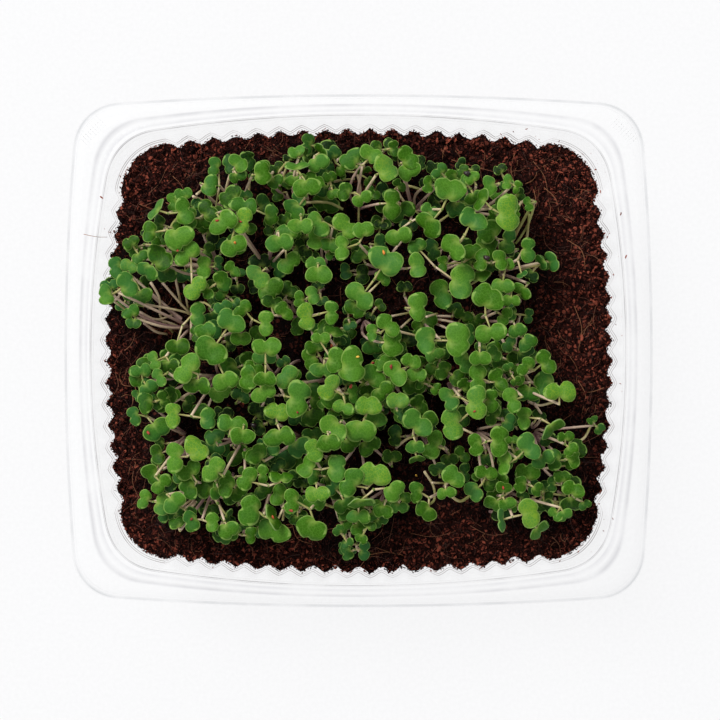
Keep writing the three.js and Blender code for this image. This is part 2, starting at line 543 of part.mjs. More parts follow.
function lineSamples(path) {
  const samples = [];
  for (let i = 0; i + 1 < path.length; i++) {
    const steps = Math.max(1, Math.ceil(path[i].distanceTo(path[i + 1]) / 0.9));
    for (let k = 0; k < steps; k++) {
      samples.push(path[i].clone().lerp(path[i + 1], k / steps));
    }
  }
  samples.push(path[path.length - 1]);
  return samples;
}

// Pairs the cotyledons whose stalks can meet, nearest first, as long as each one still points away from the fork.
function pairLeaves(leaves) {
  const heels = leaves.map((leaf) => forkPoint([leaf]).setZ(0));
  const ahead = leaves.map((leaf) => vec(...polarStep(leaf.bearing), 0));
  const options = [];
  for (let i = 0; i < leaves.length; i++) {
    for (let j = i + 1; j < leaves.length; j++) {
      const apart = heels[i].clone().sub(heels[j]);
      const rise = Math.abs(leaves[i].level - leaves[j].level);
      const turn = Math.abs(((leaves[i].bearing - leaves[j].bearing + 540) % 360) - 180);
      const cost = apart.length() + 1.6 * rise + (turn < 50 ? 6 : 0);
      const lead = STALK_REACH + Math.min(apart.dot(ahead[i]), -apart.dot(ahead[j])) / 2;
      if (cost < PAIR_REACH && lead > 0.4) {
        options.push([cost, i, j]);
      }
    }
  }
  options.sort((p, q) => p[0] - q[0] || p[1] - q[1] || p[2] - q[2]);
  const mate = leaves.map(() => -1);
  options.forEach(([, i, j]) => {
    if (mate[i] < 0 && mate[j] < 0) {
      mate[i] = j;
      mate[j] = i;
    }
  });
  return leaves.map((_, i) => (mate[i] < 0 ? [i] : [i, mate[i]])).filter(([i, j]) => j === undefined || i < j);
}

// Where the clumps are rooted: rows of spots, every second row shifted by half a step.
function rootSpots() {
  const spots = [];
  for (let row = 0; row < ROOT_ROWS; row++) {
    const columns = row % 2 === 0 ? 6 : 7;
    for (let column = 0; column < columns; column++) {
      const random = randomFrom(100 + spots.length);
      const x = (column - (columns - 1) / 2) * ROOT_COLUMN_PITCH + (random() - 0.5) * 3;
      const y = (row - (ROOT_ROWS - 1) / 2) * ROOT_ROW_PITCH + (random() - 0.5) * 3;
      spots.push([x, y]);
    }
  }
  return spots;
}

// The stem's line from its crown to its growing tip, bent sideways by some millimetres.
function stemPath(spot, tip, bend, rise) {
  const run = [tip.x - spot[0], tip.y - spot[1]];
  const length = Math.hypot(run[0], run[1]) + 0.001;
  const out = Math.min(FOOT_OUT, length) / length;
  const foot = vec(spot[0] + run[0] * out, spot[1] + run[1] * out, SOIL_TOP + FOOT_RISE);
  const side = [-run[1] / length, run[0] / length];
  const knee = vec(
    foot.x + run[0] * 0.28 + side[0] * bend,
    foot.y + run[1] * 0.28 + side[1] * bend,
    foot.z + (tip.z - foot.z) * rise,
  );
  const shares = length < STRAIGHT_RUN ? [0, 1] : [0, 0.55, 1];
  return shares.map((t) =>
    foot
      .clone()
      .multiplyScalar((1 - t) ** 2)
      .addScaledVector(knee, 2 * t * (1 - t))
      .addScaledVector(tip, t * t),
  );
}

// The ways a seedling may stand, tried in turn until it is clear of every other clump.
const HEIGHT_TRIES = [0, -1.5, 1.5, -3, 3, -4.5, 4.5, -6, 6, 7.5];
const BEND_TRIES = [0, 2.5, -2.5, 5, -5];

function growKale() {
  const leaves = LEAVES.map((row, i) => {
    const random = randomFrom(1700 + i);
    return {
      x: row[0],
      y: row[1],
      bearing: row[2],
      width: row[3],
      level: row[4],
      pitch: (row[5] || 0) + (random() - 0.45) * 16,
      roll: (random() - 0.5) * 14,
      jitter: (random() - 0.5) * 2.4,
      z: 0,
    };
  });
  const spots = rootSpots();
  const pairs = pairLeaves(leaves).map((members) => {
    const fork = forkPoint(members.map((i) => leaves[i]));
    const reach = spots.map(([x, y]) => Math.hypot(fork.x * 0.9 - x, fork.y * 0.86 - y));
    return {
      leaves: members,
      level: Math.max(...members.map((i) => leaves[i].level)),
      spot: reach.indexOf(Math.min(...reach)),
    };
  });
  const order = pairs.map((_, i) => i);
  order.sort((a, b) => pairs[b].level - pairs[a].level || a - b);
  const taken = new Map();
  const key = (x, y, z) => x + "," + y + "," + z;
  const cell = (v) => Math.floor(v / LEAF_SPACING);
  const isFree = (samples, spot, own) => {
    for (const p of samples) {
      for (let i = -1; i <= 1; i++) {
        for (let j = -1; j <= 1; j++) {
          for (let k = -1; k <= 1; k++) {
            const near = taken.get(key(cell(p.x) + i, cell(p.y) + j, cell(p.z) + k));
            if (near && near.some((q) => (own || q.spot !== spot) && q.at.distanceTo(p) < LEAF_SPACING)) {
              return false;
            }
          }
        }
      }
    }
    return true;
  };
  const grown = [];
  order.forEach((index) => {
    const pair = pairs[index];
    const level = LEVEL_HEIGHTS[pair.level];
    const jitter = leaves[pair.leaves[0]].jitter;
    for (const strict of [true, false]) {
      for (const height of HEIGHT_TRIES) {
        const z = SOIL_TOP + level + jitter + height;
        const placed = pair.leaves.map((i) => ({ ...leaves[i], z: z + (leaves[i].level - pair.level) * 0.8 }));
        const samples = placed.flatMap(bladeSamples);
        if (samples.some((p) => p.z < SOIL_TOP + 2) || !isFree(samples, pair.spot, strict)) {
          continue;
        }
        const tip = forkPoint(placed);
        const arms = placed.map((leaf) => {
          const frame = bladeFrame(leaf);
          return [tip, bladePoint(frame, leaf.width, 0.16, 0, 0)];
        });
        for (const bend of BEND_TRIES) {
          const stem = stemPath(spots[pair.spot], tip, bend, 0.62);
          const wood = [...lineSamples(stem).filter((p) => p.z > SOIL_TOP + 1.5), ...arms.flatMap(lineSamples)];
          const high = wood.filter((p) => p.z > SOIL_TOP + 5);
          if (!isFree(wood, pair.spot, false) || (strict && !isFree(high, pair.spot, true))) {
            continue;
          }
          [...samples, ...wood].forEach((at) => {
            const name = key(cell(at.x), cell(at.y), cell(at.z));
            if (!taken.has(name)) {
              taken.set(name, []);
            }
            taken.get(name).push({ at, spot: pair.spot });
          });
          grown.push({ spot: pair.spot, leaves: placed, stem });
          return;
        }
      }
    }
  });
  return { grown, spots };
}

function crown(spot, radius, low, high) {
  return tube([vec(spot[0], spot[1], low), vec(spot[0], spot[1], high)], radius, CROWN_SIDES);
}

function joined(solids) {
  return solids.reduce((sum, solid) => sum.add(solid));
}

function toMesh(name, solid, color, roughness, extra = {}) {
  const made = solid.getMesh();
  const geometry = new THREE.BufferGeometry();
  geometry.setAttribute("position", new THREE.BufferAttribute(new Float32Array(made.vertProperties), 3));
  geometry.setIndex(new THREE.BufferAttribute(new Uint32Array(made.triVerts), 1));
  geometry.computeVertexNormals();
  const material = new THREE.MeshStandardMaterial({ color, roughness, metalness: 0, ...extra });
  const mesh = new THREE.Mesh(geometry, material);
  mesh.name = name;
  return mesh;
}

const potted = new THREE.Group();
potted.name = "potted_kale_microgreens";

const { grown, spots } = growKale();
const used = spots.map((_, i) => i).filter((i) => grown.some((g) => g.spot === i));

const holes = used.map((i) => crown(spots[i], CROWN_RADIUS + 0.4, SOIL_TOP - CROWN_DEPTH - 0.4, SOIL_TOP + 3));
const coir = makeCoir().subtract(joined(holes));

potted.add(toMesh("tray", makeTray(), 0xf2f4f4, 0.12, { transparent: true, opacity: 0.35 }));
potted.add(toMesh("coir", coir, 0x3a1f16, 0.95));

used.forEach((spotIndex, order) => {
  const parts = [crown(spots[spotIndex], CROWN_RADIUS, SOIL_TOP - CROWN_DEPTH, SOIL_TOP + CROWN_RISE)];
  grown
    .filter((g) => g.spot === spotIndex)
    .forEach((g) => {
      parts.push(makeSeedling(g.stem, g.leaves));
    });
  const name = "kale_clump_" + String(order + 1).padStart(2, "0");
  potted.add(toMesh(name, joined(parts), 0x4a8a34, 0.6));
});

export default potted;
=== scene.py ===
import json
import math

import bpy
import numpy as np
from bpy.props import FloatProperty, FloatVectorProperty, IntProperty, PointerProperty
from mathutils import Matrix, Vector, noise

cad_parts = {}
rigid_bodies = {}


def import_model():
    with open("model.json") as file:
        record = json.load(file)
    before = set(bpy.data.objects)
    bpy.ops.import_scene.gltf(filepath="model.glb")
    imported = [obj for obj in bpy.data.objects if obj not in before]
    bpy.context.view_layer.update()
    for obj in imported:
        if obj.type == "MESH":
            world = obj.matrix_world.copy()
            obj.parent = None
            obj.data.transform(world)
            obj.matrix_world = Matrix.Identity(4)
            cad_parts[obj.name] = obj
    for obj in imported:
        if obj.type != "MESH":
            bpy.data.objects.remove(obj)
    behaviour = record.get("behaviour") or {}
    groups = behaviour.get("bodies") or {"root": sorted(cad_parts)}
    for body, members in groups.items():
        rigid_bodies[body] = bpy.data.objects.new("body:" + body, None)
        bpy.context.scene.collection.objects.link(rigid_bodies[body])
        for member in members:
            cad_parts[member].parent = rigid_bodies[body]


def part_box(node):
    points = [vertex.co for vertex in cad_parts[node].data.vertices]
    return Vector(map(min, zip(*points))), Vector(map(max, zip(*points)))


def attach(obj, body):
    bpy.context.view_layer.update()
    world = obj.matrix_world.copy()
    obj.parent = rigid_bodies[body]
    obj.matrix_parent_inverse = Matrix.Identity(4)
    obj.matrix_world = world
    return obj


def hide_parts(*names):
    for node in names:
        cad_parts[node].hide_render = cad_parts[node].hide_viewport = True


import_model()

bl_info = {
    "name": "Potted kale microgreens",
    "version": (1, 0, 0),
    "blender": (4, 5, 0),
    "location": "View3D > Sidebar > Microgreens",
    "description": "Dresses a clear tray of coir and red russian kale seedlings around its solids",
    "category": "Object",
}

MM = 0.001
RAD = math.pi / 180
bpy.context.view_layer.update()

# What spreads random numbers evenly, and the seeds of their runs.
DRAW_RANGE = 4294967296
DRAW_SPREAD = 2654435761
DRAW_FACTOR = 1664525
DRAW_STEP = 1013904223
LUMP_SEEDS = (11, 12, 13, 14)
GRAIN_SEEDS = (15, 16, 17, 18)
BUD_SEED = 21
SCRAP_FORM_SEED = 31
LITTER_SEED = 41
SCRAP_SEED = 77
ROOT_SEED = 100
PIECE_SEED = 500
LEAF_SEED = 1700
LOW_SEED = 3000
UNDER_SEED = 5000

# The tray, in millimetres like every other length below, with its reach and height taken from the solid.
TRAY_REACH = [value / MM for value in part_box("tray")[1]]
EDGE_HALF = (TRAY_REACH[0], TRAY_REACH[1])
RIM_HEIGHT = TRAY_REACH[2]
SKIRT_REACH = (7.1, 5.6)
WALL_LEAN = 5
MOUTH_HALF = (EDGE_HALF[0] - SKIRT_REACH[0], EDGE_HALF[1] - SKIRT_REACH[1])
BASE_HALF = (MOUTH_HALF[0] - WALL_LEAN, MOUTH_HALF[1] - WALL_LEAN)
SIDE_BOW = 4.0
CORNER_RADIUS = 13.0
CORNER_STEPS = 24
CORNER_PULL = 0.56
FLUTE_DEPTH = 1.6
FLUTES = (17, 15)
FINE_PER_FLUTE = 6
FLANGE_WIDTH = 3.0
FLANGE_BOW = SIDE_BOW - 0.3
EDGE_BOW = 2.2
EDGE_CORNER = 12.0
SKIRT_DROP = 4.2

# The section of the tray's inner surface, ring by ring from its lip to the middle of its base. The lip has
# its reach past the edge and its drop below the skirt. The skirt curls down through a quarter turn. The
# shoulder and the foot have their offset from the line of the wall and their height, and the wall its height
# and its share of the flutes' depth. The base shrinks to a point.
LIP = [(0.8, 0.9), (0.25, 0.75)]
SKIRT_TURNS = range(0, 91, 15)
SHOULDER = [(1.3, 48), (0.9, 48.25), (0.45, 48.3), (0.1, 48.0), (0, 47.5), (-0.1, 46.6), (-0.1, 46)]
WALL = [
    (45.4, 0.15), (44.8, 0.45), (44.1, 0.8), (43.4, 1), (36.4, 1), (35.2, 1), (34, 1), (28, 1), (20, 1),
    (12, 1), (7, 1), (6.2, 0.75), (5.2, 0.3), (4.2, 0),
]
FOOT = [(-0.4, 2.6), (-1.2, 1.5), (-2.4, 0.8), (-4, 0.5), (-8, 0.5), (-9, 1)]
BASE_INSET = -9
BASE_HEIGHT = 1
BASE_SHARES = (0.7, 0.35)
TRAY_ROWS = len(LIP) + len(SKIRT_TURNS) + len(SHOULDER) + len(WALL) + len(FOOT) + len(BASE_SHARES)

# The rings where the sheet is bent, and how much light it lets through there: dark lines painted in for the
# reflections at the bent sheet.
PAINTED_BEND_LINES = [
    (0.6, "e8e9ea"), (3, "f6f6f7"), (8, "f1f1f2"), (9, "f6f6f7"), (12, "a9a7a9"), (15, "efefef"),
    (21, "8f8683"),
]
BEND_REACH = 0.45

# The grip ribs at the two far corners of the rim: their number, spacing, radius and the middle one's place.
RIBS = 9
RIB_PITCH = 0.9
RIB_SLANT = 0.7
RIB_RADIUS = 0.11
RIB_MIDDLE = (70.6, 58.2, 46.6)
RIB_REACH = (1.3, 1.3, -0.9)
RIB_ARCH = 0.25

# The coir keeps a little clear of the wall. Its foot has offsets from the wall and heights, its side has
# heights, and the rows of its top crowd towards its brink. Its lumps, and the bites out of its edge, have
# their height and width.
SOIL_TOP = 34.0
SOIL_GAP = 0.2
SOIL_UNDERSIDE = 1.15
SOIL_INSET = -9.3
SOIL_FOOT = [(-7.8, 0.65), (-4.2, 0.65), (-2.6, 1), (-1.4, 1.7), (-0.8, 2.8), (-SOIL_GAP - 0.4, 4.5)]
SOIL_SIDE = (7, 12, 17, 22, 26, 29, 31, 32.4)
SOIL_ROWS = 84
SOIL_CROWDING = 1.25
SOIL_LUMPS = [(1.5, 11), (1.6, 2.6), (1.3, 1.1)]
HOLLOW_BITE = (0.9, 5)
LUMP_BITE = (0.9, 1.6)
GRAIN_BITE = (0.6, 0.7)
BRINK_FADE = 12
BRINK_DROP = 0.8
SIDE_DEPTH = 2.5
SIDE_DRYNESS = 0.2

# Loose bits on the coir: the least size of each kind, how much larger some are, and how rare the pale ones
# are. Few fall where leaves cover the coir. The ledge is the part of the rim and the wall that crumbs lie on.
LITTER = {"coir_crumbs": (0.25, 0.62, 3.1), "coir_grains": (0.17, 0.4, 2.0)}
LITTER_INSET = -1.2
LITTER_OUTWARD = 0.4
LITTER_SUNK = 0.12
EDGE_LITTER_SHARE = 4
COVER_REACH = 6
COVER_LEAVES = 2
COVERED_SHARE = 0.12
LEDGE_ROWS = slice(9, 22)
CLINGING_CRUMBS = 30
FLUTES_END = 43.5
RIM_HAIR = [(-72.4, 30.6, 48.5), (-70.6, 30.2, 48.8), (-68.6, 29.9, 47.6), (-66.6, 30.1, 44.2)]

# The kale's rule of growth, which follows the solids.
LEVEL_HEIGHTS = [7, 10.5, 15, 19.5, 24]
LEVEL_STEP = 0.8
ROOT_ROWS = 6
ROOT_ROW_PITCH = 15
ROOT_COLUMN_PITCH = 15.4
ROOT_SCATTER = 3
ROOT_PULL = (0.9, 0.86)
FOOT_OUT = 0.9
FOOT_RISE = 0.9
KNEE_SHARE = 0.28
KNEE_RISE = 0.62
LEAF_SPACING = 1.2
PAIR_REACH = 10.5
LEVEL_COST = 1.6
SAME_WAY_COST = 6
SAME_WAY_TURN = 50
LEAST_LEAD = 0.4
LEAST_LEAF_HEIGHT = 2
STEM_CLEAR_FROM = 1.5
STEM_STRICT_FROM = 5
STALK_JOINT = 0.16
STEM_MIDDLE = 0.55
STRAIGHT_RUN = 8
STALK_REACH = 1.2
WAIST = 0.23
CUP = 0.05
LOBE_CENTRE = (0.25, 0.25)
LOBE_RADIUS = 0.27
HEIGHT_TRIES = [0, -1.5, 1.5, -3, 3, -4.5, 4.5, -6, 6, 7.5]
BEND_TRIES = [0, 2.5, -2.5, 5, -5]
PITCH_SPREAD = 16
ROLL_SPREAD = 14
HEIGHT_SPREAD = 2.4

# The finer plants: how far stems thin out, how deep they start and how far low leaves are laid down.
STEM_SINK = 3.0
STEM_TAPER = 0.8
STALK_SHARE = 0.72
STALK_TIP = 0.2
LOW_PITCH_SHARE = 0.6
LOW_BEND = 1.0
UNDER_SCATTER = 11
UNDER_ROOT_SCATTER = 7
UNDER_BEND = 4
UNDER_NEIGHBOURS = 4

# Widths of the cells of the patterns. Draw marks, coir dust, leaf pores, streaks and paper fibres are finer
# than this in life, and are drawn as coarse as they need to be to show.
DRAW_MARKS = 3.8462
BEND_BREAKS = 11.111
COIR_GRAIN = 0.9091
COIR_FRAY = 1.1111
COIR_CLODS = 1.3158
LEAF_MOTTLE = 1.9231
LEAF_NET = 0.8
LEAF_PATCHES = 13.333
STEM_STREAKS = 1.4286
FIBRE_GRAIN = 1.1111
HUSK_GRAIN = 0.6667
BUD_GRAIN = 0.8333
PAPER_FIBRE = 1.1111

# The camera looks straight down but for a slight lean, from well above the rim. Its field is the width that
# the picture takes in at the rim.
CAMERA_CENTRE = (0.53, -2.6)
CAMERA_DISTANCE = 640.0
CAMERA_LEAN = (0.6, -0.6)
CAMERA_FIELD = 189.8
SENSOR_WIDTH = 36

# The stage, in metres
FLOOR_SIZE = 6
FLOOR_GAP = 0.05 * MM
WINDOW_PLACE = (-0.5, 0.55, 0.9)
WINDOW_SIZE = 0.45

# Cotyledons seen from above: x, y, bearing from base to tip in degrees, width, canopy level and, where it is
# steep, its pitch in degrees.
LEAVES = [
    (-38, 48.6, 170, 5.3, 2), (-31.3, 48.8, 50, 5.6, 3), (-31.5, 45.3, -70, 4.9, 2), (-39, 43.3, -15, 6, 2),
    (-45.9, 41, 100, 5, 2), (-48.6, 38.9, 190, 5.2, 2), (-45.6, 36.3, 15, 7.3, 3),
    (-52.6, 36.8, 150, 6.5, 2, -60), (-54.1, 30.7, 175, 5.6, 2), (-53.4, 27.6, -10, 4.6, 2),
    (-59.2, 26.5, 215, 5, 1), (-46.4, 29.1, -65, 8, 4), (-44.5, 24.8, 135, 7.6, 4), (-51.8, 24, 45, 7.6, 2),
    (-50.3, 19.9, -90, 5.4, 2), (-55, 20.9, 240, 6.2, 3, -30), (-60.3, 22.2, 250, 5, 2),
    (-64.2, 22, 190, 6, 2), (-60.6, 17.2, 30, 7, 3), (-65.2, 17, 100, 5, 2), (-66, 14.3, 190, 5.6, 3),
    (-57, 14.4, -60, 5.8, 2), (-40.2, 21.8, 180, 6, 3), (-42.3, 16.3, -40, 7, 3),
    (-37.4, 17.4, -70, 5.6, 2), (-32.2, 27, -60, 7.2, 4), (-33.2, 21.4, 45, 4.8, 2), (-35, 33, -55, 8, 4),
    (-29.8, 33.6, -20, 7, 4), (-37.7, 37, -80, 4, 2), (-25.1, 46.2, 10, 6.2, 3), (-27.9, 47, 170, 3.6, 1),
    (-29.9, 41, 90, 4, 1), (-16, 51.8, 110, 4.6, 3), (-14, 51, 0, 4.6, 2, -50), (-10.6, 48.8, -60, 6, 3),
    (-9.6, 52.2, 45, 5, 2, 70), (-16, 47.7, 100, 6.4, 2, -50), (-16, 44.8, -90, 5.8, 2),
    (-13.3, 42.4, -80, 7.6, 4), (-11.3, 44.4, 60, 5.6, 3), (-1.6, 49.8, 135, 6.4, 3),
    (3.4, 50.9, 60, 6.4, 3), (7.3, 46.8, 30, 7.4, 4), (-4.5, 47.2, 200, 4, 1, -40),
    (1.8, 47.4, -80, 4, 2, -55), (-3.3, 40.8, 160, 5, 2), (1.1, 38.9, -60, 5.6, 3), (2.9, 44.9, -60, 3, 1),
    (8.8, 38.3, 0, 8, 3), (3.8, 41.4, 45, 4.6, 2), (-16.4, 36.8, -140, 6.6, 3, -25),
    (-22.9, 35.6, 0, 5.6, 2), (-29.5, 37.4, 80, 7.4, 2), (-14.7, 32.2, -90, 6.6, 4),
    (-10.3, 32.8, 215, 7.2, 3), (-20.2, 28, -80, 7.4, 4), (-18.3, 30.9, 95, 6, 3), (-11, 29.2, 180, 6.4, 3),
    (-7.3, 27.6, -100, 5.6, 3), (-3.9, 26.5, 180, 6.4, 4), (-3.1, 31.9, 45, 7.6, 4), (1.4, 31, 100, 5.8, 3),
    (0.7, 25.3, 120, 6, 2), (7.2, 23, 60, 9.5, 4), (-17.9, 23, -45, 6.8, 4), (-10.3, 19.6, -90, 7, 4),
    (-11, 22.6, 90, 5.4, 3), (-25.9, 19.2, 225, 7, 4), (-23, 15.8, -45, 7.6, 2), (6.6, 18.6, 45, 4.6, 2),
    (13, 50.3, 35, 6.6, 3), (13.4, 46.8, -65, 6.2, 3), (10.3, 51.3, 110, 2.8, 1), (18.4, 43.2, 180, 4.6, 2),
    (21.4, 46.8, 135, 5, 3), (24.7, 45.7, 180, 4.4, 2), (27.3, 47, 135, 4.4, 2), (29.9, 45.1, 120, 4.4, 3),
    (34.6, 43.2, 190, 5.4, 3), (39.2, 43.8, 170, 4.1, 3), (41.7, 42.7, -20, 3.6, 3),
    (23.7, 41.3, 80, 8.4, 4), (32.2, 38.8, 155, 6.2, 3, -40), (37, 40.8, 90, 5, 2, -35),
    (38.7, 35.3, 0, 9.6, 4), (29.8, 33.6, 60, 7.6, 4), (35.2, 32.5, 180, 6, 2),
    (18.5, 32.7, 220, 7.8, 3, -25), (18.8, 36.6, 60, 5, 2), (10.8, 29.8, -75, 7.2, 3),
    (11.6, 36.6, -60, 7.4, 2), (15.6, 27.2, 120, 5.2, 3), (25.2, 26.6, 220, 7.6, 3, -25),
    (30.3, 25.8, 90, 6, 2), (34, 26.8, 0, 8.4, 2), (15.4, 21.6, 10, 6.6, 4), (22.4, 22.8, 180, 4.6, 2),
    (27, 18, -10, 9.4, 3), (31.6, 19.2, 90, 6.4, 3, -45), (38.7, 22.4, 90, 5, 2), (38, 16.8, -90, 6.2, 3),
    (44.3, 26.3, 0, 6.6, 3), (48.5, 23.1, 215, 4.4, 2, -55), (51.1, 23.3, 20, 5.6, 2, 50),
    (43, 19.7, -60, 3.2, 1, 50), (43.3, 15.8, -130, 5.6, 2, -40), (22, 14.9, 200, 8, 3),
    (33.8, 13.4, 65, 8.6, 4), (40.2, 13, -90, 5.2, 3), (44.8, 38.4, 200, 4, 2), (-59.8, 10, 120, 5, 2),
    (-59.1, 7.1, -100, 4.2, 2), (-42, 9.3, 0, 6.4, 2), (-38.4, 9, -70, 5, 2, -45),
    (-35.4, 11.2, 110, 5.2, 2), (-33, 7.2, 60, 7.8, 4), (-30, 10.7, 135, 5.4, 3), (-30.6, 3, -90, 5.6, 3),
    (-39.8, 4.8, 100, 5.8, 3), (-37.9, -0.4, 240, 9, 4), (-47.3, 0.9, -90, 6.4, 2), (-44, -5, 150, 8.6, 4),
    (-53.1, -2.9, 200, 5.2, 3), (-49.2, -4, -80, 6, 2), (-51.6, -7.2, 210, 5, 3), (-57, -4.7, 180, 2.6, 1),
    (-41.3, -9.2, -90, 7, 2), (-34.3, -8, -70, 7, 4), (-35.8, -11, -60, 6, 3), (-28.2, -7.2, 180, 6.4, 4),
    (-23.8, -7.5, -90, 6, 4), (-56.2, -11.1, 60, 3.1, 1), (-56.9, -13, -110, 3.1, 1),
    (-54, -13.3, 190, 4.4, 1, -65), (-49, -11.8, 90, 5, 2), (-51.7, -14, 180, 5.6, 2),
    (-47.9, -16.8, 180, 6.6, 4), (-58.5, -17.3, 200, 5.2, 3), (-52.7, -20.8, -55, 7.6, 3),
    (-39.1, -17.8, 0, 5.8, 3), (-32.9, -19.5, 80, 8, 4), (-29.8, -22.3, -95, 6.6, 4), (-24.2, 7, 0, 6.8, 3),
    (-19.3, 10, 45, 5.6, 2), (-22.3, 12.3, 70, 6, 2), (-24, -1.7, -90, 6.4, 4), (-23.8, 0.5, 90, 7.6, 3),
    (-18.4, -7.2, 141, 6.8, 4), (-15.6, -12.7, -10, 9.8, 4), (-24.4, -11.1, -58, 6.8, 4),
    (-21, -16.2, 80, 6.6, 4), (-15.2, 13.2, 180, 4.4, 2), (-11.9, 14.3, 20, 5, 3),
    (-13.3, 8.3, 190, 7.2, 4), (-6.8, 9.8, 0, 6.2, 4), (-9.6, 2.9, 90, 5, 3), (-6.6, 5, 70, 5.6, 3, -40),
    (-11.2, 0.8, 110, 6, 3), (-12.5, -2.3, 200, 6, 3), (-5.7, -2.6, -10, 6.8, 4), (-1.6, -4, 0, 9.4, 4),
    (-8.8, -5.2, -90, 7, 2), (-7.2, -9.8, 150, 7.2, 4), (-6.3, -13.2, -90, 6.6, 3),
    (-3.6, -14.9, -110, 5.8, 4), (-1.3, -11.4, 10, 5, 2, -35), (-6.2, -20.5, 224, 8, 4),
    (1.1, -21, -90, 8.4, 4), (0.8, 13.9, 225, 8.4, 4), (-0.6, 10.6, 240, 6, 2), (3.8, 4.5, 180, 4.6, 3),
    (7.9, 6.2, 45, 7, 4), (8.9, 1.9, 0, 7.8, 4), (4, 1, -80, 6, 2), (6.7, -3.5, 130, 5, 3),
    (10, -5.9, 219, 7.4, 4), (4, -7, 45, 7, 3), (6.4, -10.8, -45, 6.6, 3), (2.6, -14.7, 90, 7, 4),
    (10.2, -13.3, 90, 6, 4), (11.3, -16.2, 200, 7, 3), (4.8, -18, 60, 6, 3), (15.4, 10.8, 0, 7.6, 4),
    (17.8, 2.2, 185, 7.2, 4), (20, -1.2, -70, 5.6, 3), (25.8, 2.3, 0, 9, 4), (28, -3, 219, 7, 3),
    (34.5, 4.4, -80, 8.4, 4), (41.5, 5.1, -70, 5, 3), (44.3, 1.9, -45, 5.4, 3), (38.4, 8.7, -30, 5.2, 3),
    (31.7, -2.1, -90, 5.8, 3), (35.6, -0.9, 30, 4.6, 2), (37.6, -3.8, 60, 5.6, 2),
    (43.9, -4.3, 140, 5.6, 3), (49.1, -3.2, 30, 6.8, 3), (52.4, -11, 90, 8.6, 4), (49.3, -9.4, 190, 7.8, 3),
    (44.9, -11.3, -100, 6.4, 2), (40.3, -13.2, 200, 6.8, 4), (34.7, -12.9, 0, 6.2, 3),
    (36.6, -7.8, 31, 6.6, 3), (31.4, -7.7, 180, 7.8, 4), (30.6, -13.6, 0, 8.8, 4),
    (23.7, -12.8, 215, 6.6, 3), (22.5, -5.3, 155, 5.2, 2), (26, -7.3, -33, 5, 2), (15.6, -6.5, -95, 5.4, 3),
    (13.9, -3, 70, 5.4, 3), (14.6, -9.4, -80, 6.4, 2), (16.9, -15.6, 0, 5, 2), (15.5, -19.2, 52, 8.6, 4),
    (24.6, -19.2, 190, 8.4, 4), (36.5, -23.5, 0, 8, 4), (38, -17, 90, 5, 2), (43.5, -17.7, 180, 6, 3),
    (30.8, -24.8, 190, 6, 3), (50.7, -20.2, -60, 7.4, 3, -50), (62, -18.6, 120, 3.1, 1),
    (64, -20.8, -40, 3.3, 1), (-53.3, -27.6, 200, 5.4, 2), (-54.1, -33, 215, 6.4, 2),
    (-51.3, -35, -45, 6.2, 3), (-47.2, -27.8, 180, 8, 4), (-42, -25.9, 40, 7.2, 4),
    (-43.9, -31.5, 120, 7, 3), (-37.8, -22.8, 110, 5.6, 2), (-37.2, -31, 141, 7.2, 4),
    (-34.2, -35.7, 170, 6, 3), (-40, -36.1, 135, 6.4, 2), (-44, -36.4, 210, 5.8, 2),
    (-47.8, -39.7, -45, 6.6, 3), (-56, -39.2, 160, 5.2, 3), (-51.4, -40.4, -15, 6.2, 3),
    (-49.1, -43.3, 110, 4.2, 1), (-47.6, -45.6, 110, 4.8, 2, -35), (-43.5, -44.7, 200, 5.8, 3),
    (-38.1, -45.1, 0, 5.2, 3), (-34.3, -43.5, -30, 4.2, 1, -55), (-33.7, -47, -60, 6, 3),
    (-30, -46.4, -60, 4.2, 1), (-26.4, -27.3, 135, 6.2, 3), (-20, -22.5, -80, 8.2, 4),
    (-22.7, -24.7, 200, 6.4, 3), (-15.4, -25.6, -60, 6.8, 2), (-11.3, -25.9, 200, 6.2, 4),
    (-12.8, -30.4, 150, 7, 3, -35), (-5.5, -30.6, 0, 7.2, 4), (-1.7, -34.6, 150, 8.2, 4),
    (4.4, -32.5, 85, 8.8, 4), (-10.5, -37.4, -85, 6.6, 4), (-11.3, -40, -90, 5.8, 3),
    (-17, -39.4, 180, 6.6, 4), (-20.6, -38, 160, 6, 2), (-28.6, -33.7, 147, 6.6, 4),
    (-24.8, -32.6, 0, 5, 2), (-27.8, -41.4, 170, 8.2, 4), (-22.2, -43.7, 20, 7.2, 3, -70),
    (-22, -47.1, -110, 8.8, 3), (-27, -48.2, 250, 3.8, 1), (-11.8, -46.4, -115, 8.2, 3),
    (0.2, -43.5, -90, 6.4, 3), (-3.5, -46.6, -50, 4.6, 2), (-0.4, -48, 120, 2.9, 1),
    (0.5, -49.5, -60, 2.9, 1), (-4, -52.3, 180, 3.4, 1), (-1.9, -53.2, -70, 3.1, 1),
    (6.2, -40.8, -100, 5.2, 2), (5.8, -45.3, -55, 4.6, 1), (9.5, -36.5, -40, 6.2, 4),
    (1, -39.7, -90, 7.4, 2, -60), (2.9, -25, -45, 6.4, 2), (-7.2, -24, -80, 6.4, 3),
    (-20, -33.4, 90, 6.4, 2, -40), (15.2, -25.2, -90, 5, 3), (15.5, -28.5, -75, 4.4, 2, -50),
    (19.8, -24.9, 160, 7.8, 3), (24.9, -33.2, 50, 6.6, 4), (23, -37.1, -80, 5.2, 3),
    (15.4, -37.3, 180, 5.6, 3), (17.8, -42.2, -130, 6.2, 2), (10.7, -41.3, -90, 5, 2),
    (30.4, -37, 222, 5.8, 3), (33.5, -32.2, 80, 6.2, 3), (38.3, -29.4, 180, 7, 3, -40),
    (36.2, -34.4, -80, 6.6, 2), (44.5, -25.4, 35, 7.6, 4), (44.4, -42.3, 15, 7.8, 4),
